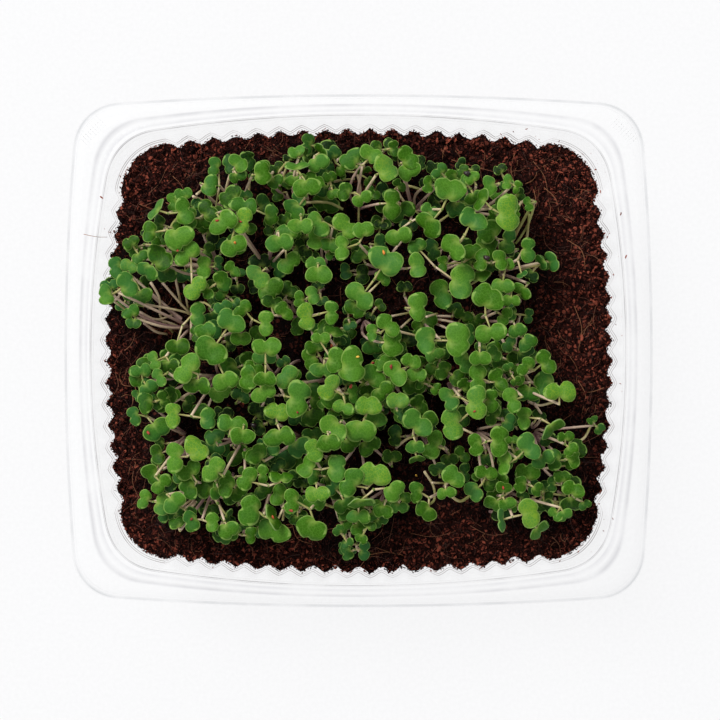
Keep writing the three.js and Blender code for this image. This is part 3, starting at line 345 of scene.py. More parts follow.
    (47.4, -47.2, -45, 6.2, 2, -45), (36, -40.4, 241, 6.2, 2, -40), (37.3, -44.2, 190, 6.2, 2, 60),
    (41, -41.2, 180, 3.6, 1), (43.4, -38.3, 60, 3.8, 1), (44.3, -32.2, 90, 6.8, 2),
    (48.5, -28.6, -60, 6.6, 3), (54.1, -22.7, 95, 4.6, 3), (55.7, -26.1, -50, 4.2, 3),
    (52.7, -28.6, 180, 4.2, 1), (56, -30, 0, 3.8, 1, -65), (53.6, -33.3, 90, 4.6, 2),
    (51, -35.4, 180, 4.4, 1), (56.3, -36.5, 70, 6.2, 3), (59.5, -40.5, -60, 3.6, 1),
    (51.6, -43, 225, 4.4, 3), (54, -43, -60, 4.4, 3),
]

# Cotyledons low in the stand: x, y, bearing, width and, where it is steep, its pitch.
LOW_LEAVES = [
    (-43, 38.1, 5, 5.4), (-40.2, 26.5, -20, 5.6), (-57.2, 18, -20, 4.6), (-37.5, 23.2, -10, 4.6),
    (-46, 20.2, -80, 5.8), (-38.3, 14.1, -60, 4.2), (-34.8, 38.1, 90, 5), (-40.5, 34, -60, 6.4),
    (-39, 31.3, 0, 6), (-36.8, 28.6, 90, 5.2), (-21.6, 42, 190, 5), (-18.5, 51.3, 100, 3.5),
    (6.2, 42.3, 0, 5), (-23.8, 32.9, 180, 5), (-25, 38.8, 30, 6), (-7.4, 31.8, 20, 5), (-15.7, 27.7, 0, 5),
    (-13, 24.8, 90, 5.2), (-21.2, 22.2, 200, 6), (-26.2, 23.8, 90, 6), (-27.9, 17, 200, 4),
    (1, 20.3, 0, 5.6), (-3.3, 21, 190, 4.6), (6, 33.8, 80, 5.6), (5.7, 28.4, 0, 5.4), (26.6, 44, -30, 4),
    (29.1, 40.6, 45, 6), (26.3, 37.8, -90, 6), (20.4, 39.3, 200, 4.8), (13.6, 33.4, 80, 5),
    (20, 26.8, 200, 6), (40.2, 27, 180, 4.6), (41.7, 24.3, -50, 4.6, 50), (12.3, 16.9, 90, 4.4),
    (-34, 2.2, 0, 5), (-48.8, -7.6, -60, 4.8), (-30, -3.3, 90, 6), (-31.4, -12, 60, 5.4),
    (-45.2, -13.8, -20, 5), (-42.3, -16.3, 100, 5.6), (-26.7, 3.8, 200, 6), (-26.6, -16.2, 60, 6),
    (-12, -8.3, 0, 7), (-11.5, -12.5, 0, 6), (-16.2, 6.3, 180, 5), (-10.6, 5.1, 45, 4.6),
    (-6.8, 1.4, 60, 5), (-2.5, 5.8, 0, 6), (-1.6, -17.7, 90, 6, -40), (-12, -17.6, -60, 6.6),
    (-15.8, -18.2, -90, 6.4), (18.4, 7.2, -20, 6.8), (16, 5.8, 190, 5), (29, 4.4, 0, 6),
    (46.2, -2.2, 160, 4.6, 60), (14, -12.8, 0, 5.6), (28, -17.4, 0, 6), (41, -19, -60, 5),
    (27.8, 9.4, 60, 5.6), (31.6, 8, -60, 5.2), (25.2, 11.3, 90, 4.4), (48, -17.2, 60, 4.2),
    (-53, -24.8, 180, 4.2), (-52.9, -29.9, 60, 5.2), (-38.5, -25.9, -90, 6), (-35.4, -26.5, 0, 3.8),
    (-31.8, -27.6, -50, 7), (-42, -40.3, 180, 4.6), (-39.8, -42.5, 80, 6), (-31.2, -39.3, 60, 5),
    (-12.3, -22.4, 90, 5.6), (-11.6, -32.4, -120, 5.2, -45), (-6.8, -35.4, -90, 6.2),
    (-25.3, -37.2, -45, 5.4), (-16.7, -44, -130, 5.8), (8.9, -28.3, 90, 5.4), (-20.8, -29, 90, 8),
    (-16, -31.4, 180, 5.6), (-15, -35.2, 90, 4.8), (9.9, -22.9, 180, 5.8), (21, -31.6, 110, 4.6),
    (11.8, -38.8, 60, 5.2), (37, -36.6, 60, 4.8), (28.2, -32.5, 0, 5.2), (27.6, -27.7, 40, 5),
    (34, -29, -90, 4.6), (24.4, -29, -80, 5), (41, -26.6, 180, 4), (50.6, -23.6, -60, 4.8),
]

# The shapes of cotyledons: how far the middle of a lobe lies from the midrib, and the depth of the tip notch.
BLADE_SHAPES = [(0.18, 0.02), (0.15, 0.04), (0.19, 0.03), (0.2, 0.045), (0.165, 0.05), (0.215, 0.04)]

# Places where a cotyledon has turned yellow-green.
YELLOWED = [(-42, 16), (10, -13), (7, 47), (38.7, 35), (-51, -40), (2.6, -14.7), (-60.3, 22.2), (45, -41)]

# Single stems in sight: height above the coir at both ends, radius, tone from mauve 0 to white 1, line.
STEMS = [
    (11, 1, 0.5, 0.5, [(-59.5, 12.7), (-54, 11.8), (-47, 10.5), (-44, 9)]),
    (10, 4, 0.45, 0.35, [(-58, 10.2), (-54, 8.3), (-50, 9.5)]),
    (10, 1, 0.5, 0.4, [(-58.5, 8.5), (-53, 8.2), (-47, 6)]),
    (9, 2, 0.5, 0.3, [(-57, 7.3), (-54, 5), (-51.5, 4.5)]),
    (12, 7, 0.45, 0.7, [(-66, 14), (-63.5, 12), (-61.5, 10.5)]),
    (11, 1, 0.5, 0.6, [(-55, 18), (-53, 14), (-53, 9), (-50, 5)]),
    (10, 1, 0.5, 0.5, [(-52, 18), (-47, 12), (-44, 9)]),
    (11, 4, 0.5, 0.55, [(-48.5, 19.5), (-47.5, 12)]),
    (10, 3, 0.45, 0.5, [(-46.3, 17.5), (-45.7, 11)]),
    (3, 9, 0.5, 0.6, [(-45, 3), (-44.6, 10), (-43.5, 12.3), (-41, 12.8), (-38.5, 11)]),
    (12, 1, 0.55, 0.75, [(-33.5, 48), (-35, 44), (-36.5, 40.5), (-40.5, 36)]),
    (9, 5, 0.5, 0.8, [(-43, 41.5), (-41.5, 43.3)]),
    (9, 2, 0.5, 0.7, [(-44, 41), (-41.5, 40), (-39.5, 37.5)]),
    (9, 3, 0.55, 1.0, [(-50.5, 26), (-51, 29.5), (-50, 33.5), (-48.3, 36)]),
    (6, 10, 0.5, 0.8, [(-23.5, 45), (-19, 50)]),
    (6, 11, 0.5, 0.75, [(-21, 44), (-18.5, 50)]),
    (3, 10, 0.5, 0.7, [(-29.5, 39), (-28.8, 46)]),
    (8, 12, 0.6, 0.85, [(-20, 39), (-14, 39.3), (-8, 39.2), (-4, 37.3)]),
    (6, 11, 0.5, 0.8, [(-9, 43.8), (-5, 45.3), (-1, 45.4)]),
    (11, 4, 0.5, 0.7, [(0, 48), (0.3, 44), (0, 34)]),
    (8, 11, 0.55, 0.9, [(10, 43), (13, 43.7), (17, 42.5)]),
    (8, 5, 0.5, 0.8, [(10, 43), (12.5, 39.5), (17, 36)]),
    (6, 9, 0.5, 0.8, [(20.3, 33.5), (24, 36)]),
    (4, 13, 0.6, 1.0, [(41, 29), (43, 33), (46, 38.5)]),
    (15, 6, 0.5, 0.95, [(41.5, 35.5), (42.5, 38.5), (44.5, 40), (46.8, 39.5), (46.3, 37), (45, 33),
                        (42, 28.5)]),
    (6, 12, 0.5, 0.95, [(45, 30), (45.3, 36)]),
    (12, 5, 0.5, 0.75, [(38, 27), (35, 20)]),
    (12, 4, 0.5, 0.7, [(38, 26), (37.5, 22), (38.2, 19.3)]),
    (7, 12, 0.5, 0.9, [(43, 21.5), (49.7, 23)]),
    (14, 10, 0.5, 0.75, [(10.5, 5), (17, 3.5)]),
    (12, 14, 0.45, 0.7, [(20, 3.5), (23, 3.5)]),
    (11, 8, 0.45, 0.6, [(11.3, 6), (14, 8.5)]),
    (13, 9, 0.45, 0.65, [(18, 8.8), (21, 9.8)]),
    (14, 9, 0.45, 0.7, [(9, 9), (13.5, 10)]),
    (13, 3, 0.5, 0.45, [(38, 3), (41, -2), (45, -7), (47.5, -9.5)]),
    (13, 4, 0.5, 0.35, [(41.8, 4), (41.5, -3)]),
    (12, 3, 0.5, 0.4, [(46.5, -14), (50.5, -19)]),
    (11, 6, 0.5, 0.5, [(45, -13.5), (48, -14.6), (52, -13.8)]),
    (11, 2, 0.5, 0.3, [(39.5, 2.5), (42.5, -3), (45.5, -8)]),
    (13, 7, 0.6, 1.0, [(24, -38), (27, -40), (30, -38.5)]),
    (13, 4, 0.5, 0.9, [(17.5, -32), (20, -36), (20.3, -39.5), (19.3, -41)]),
    (12, 8, 0.45, 0.8, [(19.5, -35), (23, -35.3)]),
    (6, 13, 0.5, 0.8, [(10, -26), (13, -23.5), (16, -22.5)]),
    (9, 13, 0.5, 0.7, [(26, -20), (33.5, -23.5)]),
    (4, 10, 0.5, 0.7, [(43, -34), (46, -37.5), (50, -39), (53, -41)]),
    (5, 10, 0.5, 0.75, [(45.5, -34.5), (49, -37.5), (55, -38.5)]),
    (6, 12, 0.55, 1.0, [(46.5, -39.3), (49, -37.3)]),
    (6, 10, 0.5, 0.8, [(49.5, -31.5), (55, -30.5)]),
    (9, 3, 0.5, 0.7, [(56, -24.7), (60, -23.5), (62.3, -20)]),
    (8, 5, 0.45, 0.6, [(-47, -41.5), (-44, -39.5)]),
    (5, 10, 0.5, 0.7, [(-38, -38.5), (-33, -40.5)]),
    (5, 10, 0.5, 0.6, [(-19.5, -41), (-20, -45)]),
    (6, 12, 0.55, 1.0, [(-9.5, -40.8), (-6.5, -41.5)]),
    (3, 10, 0.5, 0.6, [(-7, -38), (-5, -43.5)]),
    (8, 12, 0.45, 0.7, [(1, -37), (2.3, -39.3)]),
    (7, 4, 0.5, 0.5, [(-2.3, -48.5), (-2.2, -51.5)]),
    (12, 4, 0.45, 0.4, [(38.5, -16), (40, -18), (42.5, -21)]),
]

# Seed husks, and little coloured buds and scales with their tone, by where they lie.
HUSKS = [(33.6, 24.1), (-27.8, -19.8), (28.5, 46.2), (14.2, 31.5)]
SPECKS = [
    (-36.5, 33.5, 0.2), (-30.4, 33.2, 0.3), (-46.7, 25.7, 0.2), (-31.8, 27.7, 0.7), (6.8, 25.2, 0.7),
    (8.7, -4.5, 0.1), (3.8, -3.5, 0.2), (-1.8, -9.5, 0.3), (-15.5, -16.3, 0.1), (-31, -14, 0.3),
    (30.2, -16, 0.2), (-17.2, -41.7, 0.2), (-22, -43.5, 0.4), (-43.4, -44.2, 0.1), (-54.8, -21.7, 0.2),
    (38, -36, 0.3), (-7, 1.1, 0.4), (0, -1.9, 1), (15.5, -33.5, 0.9),
]

# Long pale fibres on the coir.
FIBRES = [
    [(-58, 39), (-50, 42), (-46, 43)], [(-59, 39.5), (-56, 38.3), (-53, 38)],
    [(25, 51.5), (30, 50), (37, 48)],
    [(42, 53), (41, 49), (42, 45)], [(45, 45), (47, 46), (48, 48)], [(-50, 47), (-48, 45), (-47, 43)],
    [(-52, 40), (-49, 38.5)], [(50, 44), (53, 41), (54, 37)], [(47, 51), (50, 47), (51, 42)],
    [(58, 12), (60, 6), (59, 0)], [(56, 30), (60, 27), (61, 22)], [(-62, -6), (-60, -10), (-61, -15)],
    [(-63, 0), (-61, 2), (-60, 5)], [(14, -49), (20, -50), (26, -48.5)], [(30, -47), (35, -49.5), (40, -49)],
    [(-60, -30), (-61, -35), (-59, -40)], [(59, -8), (61, -12), (60, -17)], [(2, -55), (8, -54), (12, -55)],
]

# Crumbs left on the wall and the rim.
WALL_CRUMBS = [
    (60.1, 52.5), (64.8, 43), (63.5, 42.2), (69.8, 36.4), (72.4, 24.4), (53.9, 55.9), (64.1, 48.5),
    (-68, 40.4), (-66.9, 32), (-62.2, 45.9), (-44.5, 55.9), (53.8, -56.4), (64.8, -47.6), (66.9, -44.7),
    (19.9, -58.9), (59, -53.7),
]


def linear(colour):
    """A colour written as sRGB hex digits, as the linear red, green, blue and alpha that Blender works in."""
    parts = [int(colour[i:i + 2], 16) / 255 for i in (0, 2, 4)]
    return [c / 12.92 if c <= 0.04045 else ((c + 0.055) / 1.055) ** 2.4 for c in parts] + [1.0]


def draws(seed):
    """Evenly spread numbers from 0 to 1, the same run for the same seed."""
    state = (seed * DRAW_SPREAD) % DRAW_RANGE

    def draw():
        nonlocal state
        state = (state * DRAW_FACTOR + DRAW_STEP) % DRAW_RANGE
        return state / DRAW_RANGE

    return draw


class TrayLooks(bpy.types.PropertyGroup):
    """Sheet and finish of the clear tray."""

    sheet: FloatProperty(
        name="Sheet", description="Thickness of the clear sheet", default=0.5 * MM, min=0.1 * MM,
        unit="LENGTH",
    )
    tint: FloatVectorProperty(
        name="Tint", description="What the sheet lets through head on", subtype="COLOR",
        default=linear("ffffff")[:3],
    )
    edge_tint: FloatVectorProperty(
        name="Edge tint", description="What the sheet lets through edge on", subtype="COLOR",
        default=linear("f6f5f5")[:3],
    )


class CoirLooks(bpy.types.PropertyGroup):
    """Grain and colours of the coir."""

    crumbs: IntProperty(name="Crumbs", description="Loose crumbs on the coir", default=7200, min=0)
    grains: IntProperty(name="Grains", description="Fine grains on the coir", default=12500, min=0)
    fibres: IntProperty(name="Fibres", description="Short fibres on the coir", default=1000, min=0)
    dark: FloatVectorProperty(
        name="Dark", description="Damp coir", subtype="COLOR", default=linear("0c0504")[:3],
    )
    brown: FloatVectorProperty(
        name="Brown", description="Drier coir", subtype="COLOR", default=linear("4a2019")[:3],
    )
    rust: FloatVectorProperty(
        name="Rust", description="Dry crumbs", subtype="COLOR", default=linear("a0523f")[:3],
    )


class KaleLooks(bpy.types.PropertyGroup):
    """Sizes and colours of the seedlings."""

    blade: FloatProperty(
        name="Blade", description="Thickness of a cotyledon as a share of its width", default=0.045, min=0.01,
    )
    stem: FloatProperty(
        name="Stem", description="Radius of a stem at its foot", default=0.43 * MM, unit="LENGTH",
    )
    under: IntProperty(
        name="Low seedlings", description="Shaded seedlings between the others", default=205, min=0,
    )
    # Low leaves are painted towards the deep colour as shade and top leaves towards the bright one as painted
    # light.
    deep: FloatVectorProperty(
        name="Deep", description="Shaded leaves", subtype="COLOR", default=linear("0e2703")[:3],
    )
    mid: FloatVectorProperty(
        name="Green", description="Most leaves", subtype="COLOR", default=linear("376703")[:3],
    )
    bright: FloatVectorProperty(
        name="Bright", description="Top leaves", subtype="COLOR", default=linear("568a26")[:3],
    )
    yellow: FloatVectorProperty(
        name="Yellowed", description="Ageing leaves", subtype="COLOR", default=linear("769a28")[:3],
    )


class StageLooks(bpy.types.PropertyGroup):
    """Light around the tray."""

    sky: FloatProperty(
        name="Sky", description="Strength of the light from all round", default=0.6, min=0,
    )
    window: FloatProperty(
        name="Window", description="Power of the soft light", default=11.5, min=0, unit="POWER",
    )
    table: FloatProperty(
        name="Table", description="How bright the light table shines", default=0.955, min=0,
    )


def only(*pieces):
    """Selects these pieces and nothing else, in object mode."""
    bpy.ops.object.select_all(action="DESELECT")
    for piece in pieces:
        piece.select_set(True)
        bpy.context.view_layer.objects.active = piece


def settle(piece, slot, *replaced):
    """Fixes a finished piece to the root body and hides the solids that it stands for. The finish slot is not
    used.
    """
    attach(piece, "root")
    if replaced:
        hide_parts(*replaced)
    return piece


def points_of(mesh):
    """The points of a mesh, one to a row."""
    flat = np.empty(len(mesh.vertices) * 3)
    mesh.vertices.foreach_get("co", flat)
    return flat.reshape(-1, 3)


def mark(mesh, name, values):
    """Gives each point of a mesh a number for its material to read."""
    mesh.attributes.new(name, "FLOAT", "POINT").data.foreach_set("value", values)


def shaped_grid(name, columns, rows, place):
    """A grid placed point by point: place takes their columns and rows and gives where they go, in metres."""
    only()
    bpy.ops.mesh.primitive_grid_add(x_subdivisions=columns, y_subdivisions=rows, size=1)
    piece = bpy.context.object
    piece.name = name
    flat = points_of(piece.data)
    column = np.rint((flat[:, 0] + 0.5) * columns).astype(int)
    row = np.rint((flat[:, 1] + 0.5) * rows).astype(int)
    piece.data.vertices.foreach_set("co", place(column, row).ravel())
    bpy.ops.object.mode_set(mode="EDIT")
    bpy.ops.mesh.select_all(action="SELECT")
    bpy.ops.mesh.remove_doubles(threshold=1e-6)
    bpy.ops.object.mode_set(mode="OBJECT")
    bpy.ops.object.shade_smooth()
    return piece


def finished(piece, kind, **settings):
    """Adds a modifier to a piece, sets it and applies it."""
    only(piece)
    bpy.ops.object.modifier_add(type=kind)
    modifier = piece.modifiers[-1]
    for key, value in settings.items():
        setattr(modifier, key, value)
    bpy.ops.object.modifier_apply(modifier=modifier.name)
    return piece


def form_of(piece, top=0, bottom=0):
    """Takes a finished template apart for copying: points, faces, flat coordinates and material slots."""
    mesh = piece.data
    points = points_of(mesh)
    faces = [tuple(p.vertices) for p in mesh.polygons]
    slots = np.array([bottom if p.normal.z < -0.2 else top for p in mesh.polygons], dtype=int)
    bpy.data.objects.remove(piece)
    return {"points": points, "faces": faces, "slots": slots, "flat": points[:, :2]}


def stamped(name, stamps, materials, smooth=True):
    """One piece made of many copies: each stamp is a form, the copy's points in millimetres and its tone."""
    points, faces, slots, flats, tones = [], [], [], [], []
    start = 0
    for form, placed, tone in stamps:
        points.append(placed)
        faces += [tuple(v + start for v in face) for face in form["faces"]]
        slots.append(form["slots"])
        flats.append(form["flat"])
        tones.append(np.full(len(placed), tone))
        start += len(placed)
    mesh = bpy.data.meshes.new(name)
    mesh.from_pydata((np.concatenate(points) * MM).tolist(), [], faces)
    mesh.polygons.foreach_set("material_index", np.concatenate(slots))
    flat = np.concatenate(flats)
    corners = np.empty(len(mesh.loops), dtype=int)
    mesh.loops.foreach_get("vertex_index", corners)
    mesh.uv_layers.new(name="UVMap").data.foreach_set("uv", flat[corners].ravel())
    mark(mesh, "tone", np.concatenate(tones))
    for finish in materials:
        mesh.materials.append(finish)
    if smooth:
        mesh.shade_smooth()
    piece = bpy.data.objects.new(name, mesh)
    bpy.context.collection.objects.link(piece)
    return piece


def node(tree, kind, settings=None, values=None, links=None, stops=None):
    """Adds a shader node with its settings, values and stops, fed by sockets or by nodes' first outputs."""
    made = tree.nodes.new(kind)
    for key, value in (settings or {}).items():
        setattr(made, key, value)
    for key, value in (values or {}).items():
        made.inputs[key].default_value = value
    for key, source in (links or {}).items():
        if isinstance(source, bpy.types.Node):
            source = next(socket for socket in source.outputs if socket.enabled)
        tree.links.new(source, made.inputs[key])
    for i, (place, colour) in enumerate(stops or []):
        if i > 1:
            made.color_ramp.elements.new(place)
        made.color_ramp.elements[i].position = place
        made.color_ramp.elements[i].color = colour
    return made


def material(name):
    """A node material, empty but for the place on the object that its patterns follow."""
    made = bpy.data.materials.new(name)
    made.use_nodes = True
    made.node_tree.nodes.clear()
    return made, made.node_tree, node(made.node_tree, "ShaderNodeTexCoord").outputs["Object"]


def opaque(colour):
    """A colour from the settings, with the alpha that a socket takes."""
    return [*colour, 1.0]


def cells(width):
    """The scale of a pattern whose cells are this wide."""
    return 1 / (width * MM)


def smoothed(line, count):
    """Points along a smooth curve through a few given ones."""
    points = [np.array(p, dtype=float) for p in line]
    points = [2 * points[0] - points[1], *points, 2 * points[-1] - points[-2]]
    made = []
    for i in range(count):
        place = (len(points) - 3) * i / (count - 1)
        k = min(int(place), len(points) - 4)
        t = place - k
        a, b, c, d = points[k:k + 4]
        bend = (2 * a - 5 * b + 4 * c - d) * t * t + (3 * b - a - 3 * c + d) * t ** 3
        made.append(0.5 * (2 * b + (c - a) * t + bend))
    return made


def tube_form(sides, rings, slot=0):
    """A closed tube of unit radius up the unit height, to be laid along stems and fibres."""
    def place(column, row):
        turn = 2 * math.pi * column / sides
        wide = np.where((row == 0) | (row == rings), 0.0, 1.0)
        high = np.clip((row - 1) / (rings - 2), 0, 1)
        return np.stack([wide * np.cos(turn), wide * np.sin(turn), high], axis=1)

    form = form_of(shaped_grid("tube form", sides, rings, place), slot, slot)
    form["flat"] = form["points"][:, ::2]
    return form


def laid_along(form, line, near, far):
    """A tube form's points along a line, with its radius going from near to far."""
    line = np.array(line, dtype=float)
    step = np.linalg.norm(np.diff(line, axis=0), axis=1)
    reach = np.concatenate([[0], np.cumsum(step)]) / step.sum()
    way = np.gradient(line, axis=0)
    way /= np.linalg.norm(way, axis=1)[:, None]
    side = np.cross(way, np.eye(3)[np.argmin(np.abs(line[-1] - line[0]))])
    side /= np.linalg.norm(side, axis=1)[:, None]
    other = np.cross(way, side)
    x, y, t = form["points"].T
    middle, right, up = [
        np.stack([np.interp(t, reach, values[:, k]) for k in range(3)], axis=1)
        for values in (line, side, other)
    ]
    radius = near + (far - near) * t
    return middle + right * (x * radius)[:, None] + up * (y * radius)[:, None]


def rough_form(seed, least, spread, slot=0):
    """The primitive just added, made rough by moving its corners in and out."""
    draw = draws(seed)
    piece = bpy.context.object
    for vertex in piece.data.vertices:
        vertex.co *= least + spread * draw()
    return form_of(piece, slot, slot)


def lump_form(seed, slot=0):
    """A rough lump of twenty faces, for crumbs, buds and scales."""
    only()
    bpy.ops.mesh.primitive_ico_sphere_add(subdivisions=1, radius=1)
    return rough_form(seed, 0.7, 0.5, slot)


def grain_form(seed):
    """A rough grain of six faces."""
    only()
    bpy.ops.mesh.primitive_cube_add(size=1.3)
    return rough_form(seed, 0.55, 0.8)


def turned(draw):
    """A random turning, as a 3 by 3 array."""
    first = np.array([draw() - 0.5, draw() - 0.5, draw() - 0.5])
    second = np.array([draw() - 0.5, draw() - 0.5, draw() - 0.5])
    first /= np.linalg.norm(first)
    third = np.cross(first, second)
    third /= np.linalg.norm(third)
    return np.stack([first, np.cross(third, first), third])


def wave(phase):
    """From 0 at even places to 1 at odd ones, a wave between round and pointed."""
    folded = 1 - np.abs(phase % 2 - 1)
    return 0.5 * folded + 0.5 * (0.5 - 0.5 * math.cos(math.pi * folded))


def around(half_x, half_y, bow, corner, flute=0.0):
    """Points of one line round the tray, counter-clockwise from above, with bowed sides and round corners."""
    ends = (half_x - bow - corner, half_y - bow - corner)
    halves = (half_x, half_y)
    points = []
    for side in range(4):
        along, next_end = ends[side % 2], ends[(side + 1) % 2]
        across, next_across = halves[(side + 1) % 2], halves[side % 2]
        steps = FLUTES[side % 2] * FINE_PER_FLUTE
        cosine, sine = round(math.cos(side * math.pi / 2)), round(math.sin(side * math.pi / 2))
        line = []
        for i in range(steps + 1):
            u = -1 + 2 * i / steps
            inward = flute * wave(i * 2 / FINE_PER_FLUTE)
            line.append((along * u, across - bow * u * u - inward))
        start = np.array([along, across - bow])
        finish = np.array([next_across - bow, next_end])
        pull = CORNER_PULL * corner
        start_lean = np.array([pull, -pull * 2 * bow / along])
        finish_lean = np.array([pull * 2 * bow / next_end, -pull])
        for i in range(1, CORNER_STEPS):
            t = i / CORNER_STEPS
            line.append(
                (1 - t) ** 3 * start
                + 3 * t * (1 - t) ** 2 * (start + start_lean)
                + 3 * t * t * (1 - t) * (finish - finish_lean)
                + t ** 3 * finish
            )
        points += [(a * cosine + b * sine, a * sine - b * cosine) for a, b in line]
    return np.array(points)


def wall_line(z, offset=0.0, flute=0.0):
    """The line of the inside of the wall at a height, moved outward by an offset."""
    share = z / RIM_HEIGHT
    half = [BASE_HALF[k] + (MOUTH_HALF[k] - BASE_HALF[k]) * share + offset for k in range(2)]
    return around(half[0], half[1], SIDE_BOW, CORNER_RADIUS, flute)


def level_ring(line, z):
    """A line laid at a height."""
    return np.column_stack([line, np.full(len(line), z)])


def closed_ring(count, z):
    """A ring drawn together to one point in the middle."""
    return np.tile([0.0, 0.0, z], (count, 1))


def tray_rings():
    """The inner surface of the tray, from its lip over the rim and down the fluted wall to its middle."""
    flange = [half + FLANGE_WIDTH for half in MOUTH_HALF]
    rings = []
    for out, below in LIP:
        line = around(EDGE_HALF[0] + out, EDGE_HALF[1] + out, EDGE_BOW, EDGE_CORNER)
        rings.append(level_ring(line, RIM_HEIGHT - SKIRT_DROP - below))
    for angle in SKIRT_TURNS:
        out = math.cos(angle * RAD)
        half = [flange[k] + (EDGE_HALF[k] - flange[k]) * out for k in range(2)]
        bow = FLANGE_BOW + (EDGE_BOW - FLANGE_BOW) * out
        corner = CORNER_RADIUS + (EDGE_CORNER - CORNER_RADIUS) * out
        drop = SKIRT_DROP * (1 - math.sin(angle * RAD))
        rings.append(level_ring(around(half[0], half[1], bow, corner), RIM_HEIGHT - drop))
    rings += [level_ring(wall_line(z, offset), z) for offset, z in SHOULDER]
    rings += [level_ring(wall_line(z, 0, FLUTE_DEPTH * share), z) for z, share in WALL]
    rings += [level_ring(wall_line(z, offset), z) for offset, z in FOOT]
    base = wall_line(BASE_HEIGHT, BASE_INSET)
    rings += [level_ring(base * share, BASE_HEIGHT) for share in BASE_SHARES]
    rings.append(closed_ring(len(base), BASE_HEIGHT))
    return np.array(rings)


def placed_on(rings):
    """A placing rule that takes a grid's rows from rings, and its columns round them."""
    return lambda column, row: rings[row, column % rings.shape[1]] * MM


def soil_height(x, y):
    """Height of the coir's surface: lumps, grains and crumbs."""
    at = Vector((x, y, 0))
    return SOIL_TOP + sum(height * noise.noise(at / width) for height, width in SOIL_LUMPS)


def soil_edge(line, z):
    """A line round the coir, ragged where crumbs have fallen away from the wall."""
    points = []
    for x, y in line:
        at = Vector((x, y, z))
        bitten = HOLLOW_BITE[0] * max(0, noise.noise(at / HOLLOW_BITE[1]))
        bitten += LUMP_BITE[0] * abs(noise.noise(at / LUMP_BITE[1]))
        bitten += GRAIN_BITE[0] * noise.noise(at / GRAIN_BITE[1])
        keep = 1 - max(0, bitten) / math.hypot(x, y)
        points.append((x * keep, y * keep, z))
    return np.array(points)


def soil_rings():
    """The coir from the middle of its underside up its ragged side and in over its top."""
    foot = wall_line(1, SOIL_INSET)
    rings = [closed_ring(len(foot), SOIL_UNDERSIDE)]
    rings += [level_ring(foot * share, SOIL_UNDERSIDE) for share in (0.5, 1)]
    rings += [level_ring(wall_line(z, offset), z) for offset, z in SOIL_FOOT]
    rings += [soil_edge(wall_line(z, -SOIL_GAP, FLUTE_DEPTH), z) for z in SOIL_SIDE]
    brink = soil_edge(wall_line(SOIL_TOP, -SOIL_GAP - 0.1, FLUTE_DEPTH), SOIL_TOP)[:, :2]
    plain = wall_line(SOIL_TOP, -SOIL_GAP - 0.3 - FLUTE_DEPTH / 2)
    for row in range(SOIL_ROWS):
        inward = (row / SOIL_ROWS) ** SOIL_CROWDING
        fade = max(0, 1 - BRINK_FADE * inward)
        line = (brink * fade + plain * (1 - fade)) * (1 - inward)
        drop = BRINK_DROP * fade
        rings.append(np.array([(x, y, soil_height(x, y) - drop) for x, y in line]))
    rings.append(closed_ring(len(foot), SOIL_TOP))
    return np.array(rings)


def blade_frame(leaf):
    """A cotyledon's base and its directions along, across and up."""
    cx, cy = math.cos(leaf["bearing"] * RAD), math.sin(leaf["bearing"] * RAD)
    pitch, roll = leaf["pitch"] * RAD, leaf["roll"] * RAD
    along = np.array([cx * math.cos(pitch), cy * math.cos(pitch), math.sin(pitch)])
    level = np.array([-cy, cx, 0])
    across = level * math.cos(roll) + np.cross(along, level) * math.sin(roll)
    base = np.array([leaf["x"], leaf["y"], leaf["z"]]) + along * (-WAIST * leaf["width"])
    return along, across, np.cross(along, across), base


def blade_points(leaf, a, b):
    """Places on a cotyledon, given along and across it as shares of its width."""
    along, across, up, base = blade_frame(leaf)
    width = leaf["width"]
    point = base + np.multiply.outer(a * width, along) + np.multiply.outer(b * width, across)
    return point + np.multiply.outer(CUP * width * 4 * b * b, up)


def fork_point(leaves):
    """Where the stalks of a seedling's cotyledons meet."""
    total = np.zeros(3)
    for leaf in leaves:
        drop = max(0.1, 0.9 + math.sin(leaf["pitch"] * RAD))
        heel = np.array([math.cos(leaf["bearing"] * RAD), math.sin(leaf["bearing"] * RAD), drop])
        total = total + (blade_frame(leaf)[3] + heel * -STALK_REACH)
    return total * (1 / len(leaves))


def counted_up(low, high, step):
    """Numbers from low to high, each a step above the one before."""
    values = []
    while low <= high:
        values.append(low)
        low += step
    return values


def blade_samples(leaf):
    """Points about a millimetre apart over a cotyledon, to keep clumps clear of each other."""
    step = 0.95 / leaf["width"]
    spots = []
    for a in counted_up(-0.04, 0.54, step):
        for b in counted_up(-0.52, 0.53, step):
            da, db = a - LOBE_CENTRE[0], abs(b) - LOBE_CENTRE[1]
            if da * da + db * db < LOBE_RADIUS * LOBE_RADIUS * 1.1:
                spots.append((a, b))
    spots = np.array(spots)
    return blade_points(leaf, spots[:, 0], spots[:, 1]).tolist()


def line_samples(line):
    """Points about a millimetre apart along a line."""
    samples = []
    for p, q in zip(line, line[1:]):
        steps = max(1, math.ceil(math.dist(p, q) / 0.9))
        samples += [[a + (b - a) * (k / steps) for a, b in zip(p, q)] for k in range(steps)]
    return samples + [list(line[-1])]


